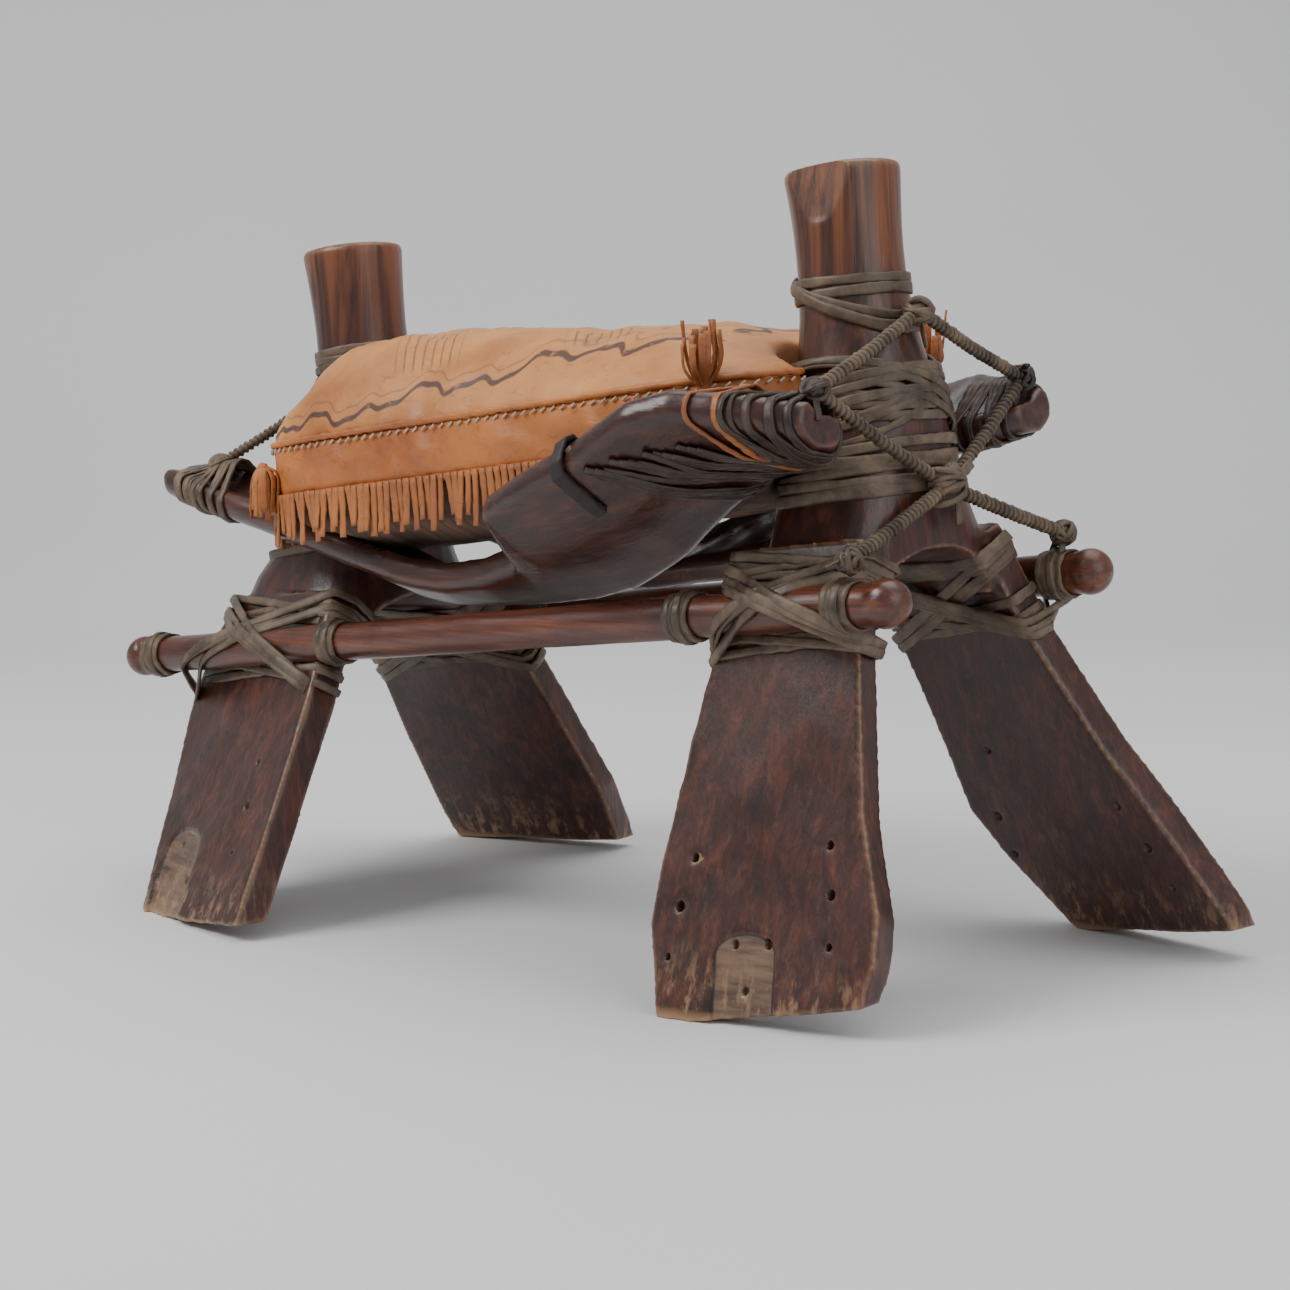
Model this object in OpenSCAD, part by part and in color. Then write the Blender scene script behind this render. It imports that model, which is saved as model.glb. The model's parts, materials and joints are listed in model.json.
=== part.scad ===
// Camel saddle of the kind kept as a stool: two forked wooden trees, two carved
// side boards and two rails, all lashed with rawhide, under a loose leather cushion.
// +X is the front, +Y the far side, +Z up. The feet stand on z = 0.
// The saddle is drawn level, in its own frame, and then pitched nose-up onto its feet.

/* [Stance] */
// Nose-up pitch of the whole saddle on its uneven feet, degrees
pitch = 5.9; // [0:0.1:9]
// Shift of the level frame along the saddle, which brings its footprint's middle to the origin
stance_x = -34.6; // [-60:0.1:20]

/* [Rails] */
// Length of each rail between the middles of its end knobs
rail_len = 653; // [560:1:780]
// Diameter of each rail
rail_d = 24.8; // [20:0.2:30]
// Diameter of the knob at each rail end
rail_knob_d = 28; // [24:0.5:34]
// Distance between the two rail axes
rail_gap = 196.6; // [180:0.2:225]
// Height of the rail axes in the saddle frame
rail_z = 193.5; // [180:0.5:205]
// Middle of the rails ahead of the frame's origin
rail_mid_x = 20; // [0:1:40]

/* [Forks] */
// Position of the front pommel along the saddle
front_pommel_x = 269.6; // [250:0.2:300]
// Position of the rear pommel along the saddle
rear_pommel_x = -155.9; // [-175:0.1:-140]
// Height of the front pommel's top
front_pommel_z = 440.6; // [420:0.2:520]
// Height of the rear pommel's top
rear_pommel_z = 457.4; // [430:0.2:540]
// Diameter across the flared pommel top
pommel_top_d = 69; // [58:0.5:84]
// Diameter of the pommel's neck
pommel_neck_d = 62; // [52:0.5:72]
// Diameter of the pommel's root, where the shoulders begin
pommel_root_d = 85; // [78:0.5:92]
// Height of the pommel's root
pommel_root_z = 312; // [306:1:318]
// Half width of the arch between the legs
arch_half = 54; // [40:1:58]
// Height of the crown of the arch
arch_top_z = 218; // [210:1:224]

/* [Legs] */
// Thickness of the leg planks
plank_t = 21; // [17:0.5:24]
// Distance of each plank's middle from the centre line at the rails
plank_y = 75; // [70:0.5:80]
// Turn of the planks about the vertical, front and rear pairs toeing in at their ends
toe_in = 10; // [4:0.5:12]
// Outward lean of the near front leg
near_front_lean = 17.9; // [14:0.1:24]
// Outward lean of the far front leg
far_front_lean = 20.7; // [14:0.1:24]
// Outward lean of both rear legs
rear_lean = 28; // [22:0.5:32]
// Middle of the front legs behind the front pommel
front_leg_back = 2.6; // [0:0.2:12]
// Middle of the rear legs behind the rear pommel
rear_leg_back = 34.1; // [20:0.1:44]
// Diameter of the nail holes left in the planks
nail_d = 4.6; // [3:0.1:6]
// Depth of the nail holes
nail_depth = 9; // [4:0.5:14]
// Depth of the recess cut for a lost repair plate on the near feet
plate_recess = 2.5; // [1:0.1:4]

/* [Side boards] */
// Thickness of the side boards
board_t = 20; // [14:0.5:24]
// Height of the boards' outer edge at the bottom of the dip
board_dip_z = 240; // [236:1:262]
// Height of the boards at the rear tip
board_rear_z = 325; // [312:1:338]
// Distance of the rear half's outer edge from the centre line
board_half = 97; // [90:1:104]
// Distance of the front wing's outer edge from the centre line
wing_half = 150; // [138:1:168]
// Height of the top of the wing's hump
wing_z = 323; // [312:1:336]
// Hollow of the board across its width
board_dish = 4; // [0:0.5:6]

/* [Cushion] */
// Half width of the cushion
cushion_half = 116; // [104:1:128]
// Height of the cushion's upper seam
seam_z = 324; // [316:1:334]
// Depth of the cushion's side band
band_h = 34; // [24:1:40]
// Rise of the crown above the seam at the frame's origin
crown_h = 60; // [44:1:76]
// Fall of the crown toward the front, mm for each mm
crown_fall = 0.12; // [0:0.01:0.2]
// Depth of the sagging cloth bottom below the band
base_h = 46; // [30:1:56]
// Length of the suede fringe
fringe_h = 34; // [20:1:44]

/* [Lashings] */
// Thickness of the rawhide bindings
strap_t = 3; // [2:0.1:4]
// Diameter of the wrapped rawhide stays
stay_d = 6.8; // [5:0.1:9]
// Diameter of the knots that the stays run to
knot_d = 17; // [12:0.5:22]

/* [Hidden] */
near = -1;
far = 1;
fit = 0.3;           // clearance of anything that lies on its neighbour
e = 0.1;             // a cut runs this much past a face
rail_y = rail_gap / 2;
front_leg_x = front_pommel_x - front_leg_back;
rear_leg_x = rear_pommel_x - rear_leg_back;
wood = [0.27, 0.10, 0.06];
raw = [0.50, 0.44, 0.35];
hide = [0.86, 0.48, 0.18];

function mix(a, b, t) = a + (b - a) * t;
function sgn_pow(v, p) = (v < 0 ? -1 : 1) * pow(abs(v), p);

// A closed ring of points on a superellipse: 2 is an ellipse, larger is squarer.
ring_n = 28;
function ring(cx, hx, hy, square) = [for (i = [0:ring_n - 1]) let (a = 360 * i / ring_n)
    [cx + hx * sgn_pow(cos(a), 2 / square), hy * sgn_pow(sin(a), 2 / square)]];

// A closed skin through a list of rings that all hold the same number of points.
module skin(rings) {
    n = len(rings[0]);
    m = len(rings);
    points = [for (r = rings) for (p = r) p];
    sides = [for (k = [0:m - 2]) for (i = [0:n - 1]) for (f = [0, 1])
        let (j = (i + 1) % n)
        f == 0 ? [k * n + i, (k + 1) * n + i, k * n + j] : [k * n + j, (k + 1) * n + i, (k + 1) * n + j]];
    first = [[for (i = [0:n - 1]) i]];
    last = [[for (i = [n - 1:-1:0]) (m - 1) * n + i]];
    polyhedron(points, concat(sides, first, last));
}

// ---- stance ----

// Pitches what is drawn in the level saddle frame onto the floor.
module stand() {
    translate([stance_x, 0, 0]) rotate([0, -pitch, 0]) children();
}

// ---- forks ----

// A pommel's root curves in to the neck at neck_share of its height, and the neck flares
// out to the top.
neck_share = 0.62;
root_curve = 2.2;
flare_curve = 1.6;
rim = 4;
function pommel_radius(top_z, z) = let (
        neck_z = mix(pommel_root_z, top_z, neck_share),
        down = (z - pommel_root_z) / (neck_z - pommel_root_z),
        above = (z - neck_z) / (top_z - neck_z))
    z < neck_z ? mix(pommel_root_d, pommel_neck_d, 1 - pow(1 - down, root_curve)) / 2
        : mix(pommel_neck_d, pommel_top_d, pow(above, flare_curve)) / 2;

// Levels of a pommel from its root up, as height and radius, grown outward by g.
function pommel_levels(top_z, g) = concat(
    [for (i = [1:11]) let (z = mix(pommel_root_z, top_z - rim, i / 11)) [z, pommel_radius(top_z, z) + g]],
    [[top_z - 1 + g, pommel_top_d / 2 - 1.5 + g], [top_z + g, pommel_top_d / 2 - rim + g]]);

// Levels of a fork's shoulders, from the legs up: height, middle, half depth, half width, squareness.
function shoulders(px, lx, spread, g) = let (r = pommel_root_d / 2) [
    [rail_z - 6, lx, spread - 3 + g, plank_y + plank_t / 2 - 5 + g, 3.4],
    [rail_z + 2.5, lx, spread + g, plank_y + plank_t / 2 - 3 + g, 3.4],
    [220, lx, mix(r, spread, 0.95) + g, r + 27 + g, 3.2],
    [240, mix(px, lx, 0.9), mix(r, spread, 0.8) + g, r + 17 + g, 3],
    [262, mix(px, lx, 0.6), mix(r, spread, 0.5) + g, r + 8 + g, 2.6],
    [290, mix(px, lx, 0.15), mix(r, spread, 0.2) + 2 + g, r + 3.5 + g, 2.2],
    [pommel_root_z, px, r + g, r + g, 2]];

function shoulder_rings(px, lx, spread, g) =
    [for (s = shoulders(px, lx, spread, g)) [for (p = ring(s[1], s[2], s[3], s[4])) [p[0], p[1], s[0]]]];
function pommel_rings(px, top_z, g) =
    [for (s = pommel_levels(top_z, g)) [for (p = ring(px, s[1], s[1], 2)) [p[0], p[1], s[0]]]];

front_spread = 45;
rear_spread = 70;
module front_shoulders(g = 0) skin(shoulder_rings(front_pommel_x, front_leg_x, front_spread, g));
module rear_shoulders(g = 0) skin(shoulder_rings(rear_pommel_x, rear_leg_x, rear_spread, g));
module front_trunk(g = 0) skin(concat(shoulder_rings(front_pommel_x, front_leg_x, front_spread, g),
    pommel_rings(front_pommel_x, front_pommel_z, g)));
module rear_trunk(g = 0) skin(concat(shoulder_rings(rear_pommel_x, rear_leg_x, rear_spread, g),
    pommel_rings(rear_pommel_x, rear_pommel_z, g)));

// The round arch under a fork, cut right through along x.
module arch(x) {
    spring_z = rail_z - 6;
    translate([x, 0, 0]) rotate([90, 0, 90]) linear_extrude(300, center = true)
        polygon(concat([[arch_half, spring_z - 30]],
            [for (a = [0:12:180]) [arch_half * cos(a), spring_z + (arch_top_z - spring_z) * sin(a)]],
            [[-arch_half, spring_z - 30]]));
}

// Puts what is drawn on a plank's middle plane (x along its width, z up it) in place.
module on_plank(x, side, lean, turn)
    translate([x, side * plank_y, rail_z]) rotate([0, 0, side * turn]) rotate([side * lean, 0, 0]) children();

module at_near_front() on_plank(front_leg_x, near, near_front_lean, -toe_in) children();
module at_far_front() on_plank(front_leg_x, far, far_front_lean, -toe_in) children();
module at_near_rear() on_plank(rear_leg_x, near, rear_lean, toe_in) children();
module at_far_rear() on_plank(rear_leg_x, far, rear_lean, toe_in) children();

// A leg plank of the given outline, grown by g on each face.
module plank(outline, g = 0)
    rotate([90, 0, 0]) linear_extrude(plank_t + 2 * g, center = true) polygon(outline);

// Outlines of the four planks, from the shoulder down to below the floor.
tuck = 34;
near_front_outline = [[-38, tuck], [-44, 0], [-49, -26], [-71, -125], [-80, -177], [-75, -206], [-68, -262],
    [44, -262], [63, -200], [64, -175], [52, -119], [45, -26], [44, tuck]];
far_front_outline = [[-40, tuck], [-56, 0], [-59, -28], [-54, -111], [-55, -152], [-39, -183], [-2, -235],
    [8, -275], [128, -275], [126, -223], [107, -173], [79, -110], [52, -28], [44, tuck]];
near_rear_outline = [[-64, tuck], [-76, 0], [-76, -46], [-64, -107], [-55, -156], [-40, -230],
    [84, -230], [87, -188], [87, -137], [84, -43], [78, 0], [66, tuck]];
far_rear_outline = [[-58, tuck], [-65, 0], [-68, -94], [-68, -160], [-56, -230],
    [74, -230], [81, -183], [83, -147], [75, -89], [66, -29], [64, 0], [60, tuck]];

// Nail holes: one blind hole from the outer or inner face at each [along, up] place.
module nails(places, face)
    for (p = places) translate([p[0], face * (plank_t / 2 - nail_depth / 2 + e), p[1]])
        rotate([90, 0, 0]) cylinder(h = nail_depth, d = nail_d, center = true, $fn = 24);

near_front_nails = [[-52, -141], [-60, -168], [-66, -196], [33, -136], [35, -163], [35, -191],
    [-24, -189], [-3, -189], [-17, -214]];
near_rear_nails = [[47, -88], [50, -118], [51, -150], [-24, -146], [-2, -171]];
far_front_nails = [[-17, -108], [-31, -155], [-29, -182], [73, -145], [84, -173], [92, -200]];

// The arched recess that a lost plate left, open at the foot.
module plate_seat(along, width, top)
    translate([along, -plank_t / 2 - e, 0]) rotate([-90, 0, 0]) linear_extrude(plate_recess + e) {
        translate([0, width * 0.3 - top]) scale([1, 0.6]) circle(d = width, $fn = 48);
        translate([-width / 2, width * 0.3 - top]) square([width, 70]);
    }

// Everything below a foot: the floor, and a rise from the heel to the lifted toe.
module foot_cut(heel_x, side, rise)
    translate([heel_x, side > 0 ? 10 : -310, 0]) {
        translate([-160, 0, -90]) cube([420, 300, 90]);
        rotate([0, -rise, 0]) translate([0, 0, -90]) cube([260, 300, 90]);
    }

module front_fork() color(wood) difference() {
    stand() difference() {
        union() {
            difference() {
                front_trunk();
                arch(front_leg_x);
            }
            at_near_front() difference() {
                plank(near_front_outline);
                nails(near_front_nails, near);
                plate_seat(-17, 38, -184);
            }
            at_far_front() difference() {
                plank(far_front_outline);
                nails(far_front_nails, near);
            }
        }
        rail_rods(fit);
    }
    foot_cut(stance_x + 237, near, 10);
    foot_cut(stance_x + 290, far, 9);
}

module rear_fork() color(wood) difference() {
    stand() difference() {
        union() {
            difference() {
                rear_trunk();
                arch(rear_leg_x);
            }
            at_near_rear() difference() {
                plank(near_rear_outline);
                nails(near_rear_nails, near);
                plate_seat(-18, 44, -136);
            }
            at_far_rear() plank(far_rear_outline);
        }
        rail_rods(fit);
    }
    foot_cut(stance_x - 222, near, 6);
    foot_cut(stance_x - 262, far, 3);
}

// ---- rails ----

module rail_rod(side, g = 0) translate([rail_mid_x, side * rail_y, rail_z]) {
    rotate([0, 90, 0]) cylinder(h = rail_len, d = rail_d + 2 * g, center = true, $fn = 64);
    for (end = [-1, 1]) translate([end * rail_len / 2, 0, 0]) sphere(d = rail_knob_d + 2 * g, $fn = 48);
}
module rail_rods(g) for (side = [near, far]) rail_rod(side, g);
module near_rail() color(wood) stand() rail_rod(near);
module far_rail() color(wood) stand() rail_rod(far);

// ---- side boards ----

// Stations along a board: x, then the outer and the inner edge as [out, up].
rear_rise = board_rear_z - board_dip_z;
inner = pommel_root_d / 2 + 8;
wing_rise = wing_z - board_dip_z;
stations = [
    [-290, [board_half - 19, board_rear_z - 3], [inner + 1, board_rear_z]],
    [-279, [board_half - 9, board_rear_z - 3], [inner - 7, board_rear_z]],
    [-250, [board_half - 4, board_dip_z + rear_rise * 0.86], [inner - 9, board_rear_z - 4]],
    [-205, [board_half - 2, board_dip_z + rear_rise * 0.68], [inner, board_dip_z + rear_rise * 0.76]],
    [-128, [board_half, board_dip_z + rear_rise * 0.42], [inner, board_dip_z + rear_rise * 0.42]],
    [-80, [board_half, board_dip_z + rear_rise * 0.22], [inner - 2, board_dip_z + rear_rise * 0.18]],
    [-38, [board_half, board_dip_z + rear_rise * 0.08], [inner - 4, board_dip_z - 5]],
    [0, [board_half, board_dip_z], [inner - 5, board_dip_z - 14]],
    [40, [board_half, board_dip_z + 1], [inner - 5, board_dip_z - 18]],
    [74, [board_half, board_dip_z + 8], [inner - 5, board_dip_z - 18]],
    [102, [wing_half - 2, board_dip_z + wing_rise * 0.46], [inner - 4, board_dip_z - 18]],
    [133, [wing_half, board_dip_z + wing_rise * 0.58], [inner - 2, board_dip_z - 15]],
    [180, [wing_half, board_dip_z + wing_rise * 0.76], [inner + 2, board_dip_z + 3]],
    [222, [wing_half, board_dip_z + wing_rise * 0.96], [inner + 7, board_dip_z + 27]],
    [250, [wing_half - 3, wing_z], [inner + 9, board_dip_z + 42]],
    [275, [wing_half - 12, wing_z - 5], [inner + 10, wing_z - 35]],
    [300, [wing_half - 27, wing_z - 12], [inner + 18, wing_z - 32]],
    [318, [wing_half - 36, wing_z - 16], [inner + 32, wing_z - 28]]];

// One cross-section, grown by g: a plank with soft edges, hollowed on top by its dish.
function section(outer, inward, g) = let (
        across = outer - inward,
        d = across / norm(across),
        up = [-d[1], d[0]],
        o = outer + g * (d + up),
        i = inward + g * (up - d),
        t = board_t + 2 * g,
        soft = 5,
        m = (o + i) / 2 - board_dish * up)
    [o - soft * d, m, i + soft * d, i - soft * up, i - (t - soft) * up, i + soft * d - t * up,
        m - t * up, o - soft * d - t * up, o - (t - soft) * up, o - soft * up];

module board_skin(side, g = 0) {
    last = len(stations) - 1;
    rings = [for (k = [0:last]) let (s = stations[k], x = s[0] + (k == 0 ? -g : k == last ? g : 0))
        [for (p = section(s[1], s[2], g)) [x, p[0], p[1]]]];
    mirror([0, side < 0 ? 1 : 0, 0]) skin(rings);
}

module side_board(side) color(wood) stand() difference() {
    board_skin(side);
    front_trunk(fit);
    rear_trunk(fit);
}
module near_side_board() side_board(near);
module far_side_board() side_board(far);

// ---- bindings ----

// A band around a side board between two places along it.
module board_band(side, from, to, g = strap_t) intersection() {
    board_skin(side, g);
    translate([from, -200, 150]) cube([to - from, 400, 250]);
}

// What a binding lies on and never cuts into.
module frame_solids(side) {
    board_skin(side, fit);
    front_trunk(fit);
    rear_trunk(fit);
}

// A straight round rod from a to b, short of each end by the gap named for it.
module rod(a, b, d, gap_a = 0, gap_b = 0) {
    v = b - a;
    l = norm(v);
    translate(a) rotate([0, acos(v[2] / l), atan2(v[1], v[0])])
        translate([0, 0, gap_a]) cylinder(h = l - gap_a - gap_b, d = d, $fn = 24);
}

// Rail lashing: turns around the plank above and below the rail, a crossing over the rail,
// and rings that stop the rail sliding.
collar_pad = 4.5;
module collar(outline_w, shift, up, h)
    translate([shift, 0, up]) cube([outline_w + 2 * collar_pad, plank_t + 2 * collar_pad, h], center = true);

cross_r = rail_d / 2 + strap_t + 1.5;
module rail_crossing(x, side, half)
    intersection() {
        translate([x, side * rail_y, rail_z]) rotate([0, 90, 0]) difference() {
            cylinder(h = 2 * half, r = cross_r, center = true, $fn = 48);
            cylinder(h = 2 * half + 2, r = rail_d / 2 + fit, center = true, $fn = 48);
        }
        for (tilt = [-1, 1]) translate([x, side * rail_y, rail_z]) rotate([0, tilt * 38, 0])
            cube([11, 60, 90], center = true);
    }

module rail_ring(x, side, w)
    translate([x, side * rail_y, rail_z]) rotate([0, 90, 0]) difference() {
        cylinder(h = w, r = rail_d / 2 + strap_t, center = true, $fn = 48);
        cylinder(h = w + 2, r = rail_d / 2 + fit, center = true, $fn = 48);
    }

collar_low = -31;
collar_high = 24;
collar_h = 11;
function front_ring_x(side) = front_leg_x + (side == near ? 57 : 63);
module front_rail_lashing(side) color(raw) stand() {
    difference() {
        union() {
            if (side == near) at_near_front() lashing_collars(93, -1, 86, 1);
            else at_far_front() lashing_collars(110, -3, 96, -1);
            rail_crossing(front_leg_x, side, 34);
        }
        if (side == near) at_near_front() plank(near_front_outline, fit);
        else at_far_front() plank(far_front_outline, fit);
        front_shoulders(fit);
        rail_rod(side, fit);
        board_skin(side, fit);
    }
    rail_ring(front_leg_x - (side == near ? 61 : 66), side, 10);
    rail_ring(front_ring_x(side), side, 9);
    translate(rail_tie(side)) sphere(d = knot_d, $fn = 32);
}
module rear_rail_lashing(side) color(raw) stand() {
    difference() {
        union() {
            if (side == near) at_near_rear() lashing_collars(160, 3, 142, 1);
            else at_far_rear() lashing_collars(134, 0, 124, 0);
            rail_crossing(rear_leg_x, side, 40);
        }
        if (side == near) at_near_rear() plank(near_rear_outline, fit);
        else at_far_rear() plank(far_rear_outline, fit);
        rear_shoulders(fit);
        rail_rod(side, fit);
        board_skin(side, fit);
    }
    rail_ring(rear_leg_x - 96, side, 8);
    rail_ring(rear_leg_x + 90, side, 14);
}
module lashing_collars(low_w, low_shift, high_w, high_shift) {
    collar(low_w, low_shift, collar_low, collar_h);
    collar(high_w, high_shift, collar_high, collar_h);
}
module near_front_rail_lashing() front_rail_lashing(near);
module far_front_rail_lashing() front_rail_lashing(far);
module near_rear_rail_lashing() rear_rail_lashing(near);
module far_rear_rail_lashing() rear_rail_lashing(far);

// Tie points of the stays, as knots lying on the pieces they bind.
knot_r = knot_d / 2;
neck_z = 371;
front_neck_tie = [front_pommel_x + pommel_radius(front_pommel_z, neck_z - 22) + knot_r + fit, 0, neck_z - 19];
front_waist_tie = [front_leg_x + front_spread + knot_r + 1, 0, 252];
function tail_tie(side) = [312, side * (wing_half - 52), wing_z - 12];
function rail_tie(side) = [front_ring_x(side), side * rail_y, rail_z + rail_d / 2 + strap_t + knot_r + fit];
rear_neck_tie = [rear_pommel_x - pommel_radius(rear_pommel_z, neck_z - 12) - knot_r - fit, 0, neck_z - 9];
function rear_tail_tie(side) = [-236, side * (board_half - 27), board_rear_z - 4.5];

// Front board lashing: turns around the board's tail, a knot on it and thongs to the shoulders.
module front_board_lashing(side) color(raw) stand() {
    translate(tail_tie(side)) sphere(d = knot_d, $fn = 32);
    front_board_turns(side);
}
module front_board_turns(side) difference() {
    union() {
        board_band(side, 281, 288);
        board_band(side, 292, 299);
        board_band(side, 304, 311);
        for (drop = [0, 16]) rod([296, side * 68, 288], [front_leg_x + 24, side * 34, 282 - drop], 5);
    }
    frame_solids(side);
    front_shoulders(strap_t + fit);
    tie_strip_band(side, fit);
}
module near_front_board_lashing() front_board_lashing(near);
module far_front_board_lashing() front_board_lashing(far);

// Rear board lashing: turns side by side around the board's rear tail.
module rear_board_lashing(side) color(raw) stand() {
    translate(rear_tail_tie(side)) sphere(d = knot_d, $fn = 32);
    difference() {
        for (x = [-262:12:-214]) board_band(side, x, x + 7);
        frame_solids(side);
    }
}
module near_rear_board_lashing() rear_board_lashing(near);
module far_rear_board_lashing() rear_board_lashing(far);

// Two turns around a pommel's neck, with a knot in front of or behind it.
turn_h = 6;
module neck_strap(x, top_z, turns_z, tie) color(raw) stand() {
    for (z = turns_z) let (r = max(pommel_radius(top_z, z - turn_h / 2), pommel_radius(top_z, z + turn_h / 2)))
        translate([x, 0, z]) difference() {
            cylinder(h = turn_h, r = r + strap_t, center = true, $fn = 64);
            cylinder(h = turn_h + 2 * e, r = r + fit, center = true, $fn = 64);
        }
    translate(tie) sphere(d = knot_d, $fn = 32);
}
module front_neck_strap() neck_strap(front_pommel_x, front_pommel_z, [neck_z - 4, neck_z + 4], front_neck_tie);
module rear_neck_strap() neck_strap(rear_pommel_x, rear_pommel_z, [neck_z + 6, neck_z + 14], rear_neck_tie);

// Three flat turns around the shoulders.
module front_waist_strap() color(raw) stand() difference() {
    for (z = [258, 266, 274]) intersection() {
        front_shoulders(strap_t);
        translate([front_leg_x, 0, z]) cube([200, 200, 6.5], center = true);
    }
    front_shoulders(fit);
    for (side = [near, far]) board_skin(side, fit);
    translate(front_waist_tie) sphere(d = knot_d + 2 * fit, $fn = 32);
}
module rear_waist_strap() color(raw) stand() difference() {
    for (z = [258, 266, 274]) intersection() {
        rear_shoulders(strap_t);
        translate([rear_leg_x, 0, z]) cube([220, 200, 6.5], center = true);
    }
    rear_shoulders(fit);
    for (side = [near, far]) board_skin(side, fit);
}

module front_knot() color(raw) stand() difference() {
    translate(front_waist_tie) sphere(d = knot_d, $fn = 32);
    front_shoulders(fit);
}

// Stays: straight wrapped cords between the ties, each end just off its knot.
stay_gap = knot_r + fit;
module stay(a, b) color(raw) stand() rod(a, b, stay_d, stay_gap, stay_gap);
module near_front_neck_stay() stay(front_neck_tie, tail_tie(near));
module far_front_neck_stay() stay(front_neck_tie, tail_tie(far));
module near_front_cross_stay() stay(tail_tie(near), front_waist_tie);
module far_front_cross_stay() stay(tail_tie(far), front_waist_tie);
module near_front_rail_stay() stay(front_waist_tie, rail_tie(near));
module far_front_rail_stay() stay(front_waist_tie, rail_tie(far));
module near_rear_neck_stay() stay(rear_neck_tie, rear_tail_tie(near));
module far_rear_neck_stay() stay(rear_neck_tie, rear_tail_tie(far));

// Strap through the slot in the near wing's edge.
module near_slot_strap() color([0.08, 0.07, 0.07]) stand() difference() {
    intersection() {
        board_band(near, 168, 177);
        translate([160, -wing_half - 20, 200]) cube([30, 44, 140]);
    }
    board_skin(near, fit);
}

// Leather strip left tied around the near board's tail.
module tie_strip_band(side, g) if (side == near) intersection() {
    board_skin(side, strap_t + g);
    translate([270 - g, -200, 200]) cube([8 + 2 * g, 400, 200]);
}
module near_tie_strip() color(hide) stand() difference() {
    tie_strip_band(near, 0);
    frame_solids(near);
    translate([front_pommel_x, 0, 0]) cylinder(h = 600, r = pommel_root_d / 2 + fit + 2, $fn = 48);
    translate([262, -cushion_half - 8, 300]) cube([14, 200, 60]);
}

// ---- cushion ----

cushion_rear_x = rear_pommel_x - 10;
cushion_front_x = front_pommel_x - 3;
cushion_mid_x = (cushion_rear_x + cushion_front_x) / 2;
cushion_hx = (cushion_front_x - cushion_rear_x) / 2;
cushion_square = 5;
function cushion_ring(s, z, fall = 0) = [for (p = ring(cushion_mid_x, cushion_hx * s, cushion_half * s, cushion_square))
    [p[0], p[1], z - fall * p[0]]];

// Room that the cushion leaves for both pommels as it lifts off, and for the frame under it.
pommel_room = 5;
module cushion_room() {
    for (x = [rear_pommel_x, front_pommel_x]) translate([x, 0, 0])
        cylinder(h = 700, r = pommel_root_d / 2 + pommel_room, $fn = 64);
    front_shoulders(strap_t + 3);
    rear_shoulders(strap_t + 3);
    for (side = [near, far]) board_skin(side, 1.5 * fit);
}

module cushion_top() color(hide) stand() difference() {
    skin([for (a = [0, 12, 26, 42, 60, 78]) let (s = sin(a))
        cushion_ring(mix(0.2, 1, pow(cos(a), 0.7)), seam_z + crown_h * s, crown_fall * s)]);
    cushion_room();
}

fill_inset = 12;
module band_block(inset, h) translate([0, 0, seam_z - band_h]) linear_extrude(h)
    polygon(ring(cushion_mid_x, cushion_hx - inset, cushion_half - inset, cushion_square));
module cushion_band() color(hide) stand() difference() {
    band_block(0, band_h);
    translate([0, 0, -e]) band_block(fill_inset, band_h + 2 * e);
    cushion_room();
}
module cushion_filling() color([0.8, 0.76, 0.66]) stand() difference() {
    band_block(fill_inset, band_h);
    cushion_room();
}
module cushion_base() color([0.35, 0.22, 0.16]) stand() difference() {
    skin([for (a = [62, 40, 20, 0]) let (c = cos(a))
        cushion_ring(mix(0.35, 1, c), seam_z - band_h - base_h * sin(a))]);
    cushion_room();
}

// Fringe hanging from the lower seam, outside the boards' rear half. It ends where the boards
// flare out under it, and inside their outer edges, so that nothing of it lies below a board.
fringe_t = 3;
fringe_front_x = 130;
module cushion_fringe() color(hide) stand() difference() {
    translate([0, 0, seam_z - band_h - fringe_h + 6]) linear_extrude(fringe_h)
        polygon(ring(cushion_mid_x, cushion_hx + fringe_t + fit, cushion_half + fringe_t + fit, cushion_square));
    translate([0, 0, seam_z - band_h - fringe_h]) linear_extrude(fringe_h + 20)
        polygon(ring(cushion_mid_x, cushion_hx + fit, cushion_half + fit, cushion_square));
    cushion_room();
    translate([fringe_front_x, -300, 0]) cube([300, 600, 600]);
    translate([-400, -board_half - 2, 0]) cube([800, 2 * board_half + 4, 600]);
}

// Corner tassels, each a tapered bundle: the rear ones hang outside the fringe and the front
// ones stand up from the seam.
corner = pow(cos(45), 2 / cushion_square);
tassel_h = 44;
tassel_d = 15;
tassel_root_d = 9;
module tassel(end, side, z, out, up) color(hide) stand()
    translate([cushion_mid_x + end * (cushion_hx * corner + out), side * (cushion_half * corner + out), z])
        rotate([up ? 0 : 180, 0, 0]) cylinder(h = tassel_h, d1 = tassel_root_d, d2 = tassel_d, $fn = 24);
hang_out = (tassel_d / 2 + fringe_t + 4 * fit) * cos(45);
stand_out = (tassel_root_d / 2 + 2 * fit) * cos(45);
module near_rear_tassel() tassel(-1, near, seam_z - 2, hang_out, false);
module far_rear_tassel() tassel(-1, far, seam_z - 2, hang_out, false);
module near_front_tassel() tassel(1, near, seam_z - 8, stand_out, true);
module far_front_tassel() tassel(1, far, seam_z - 8, stand_out, true);

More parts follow.
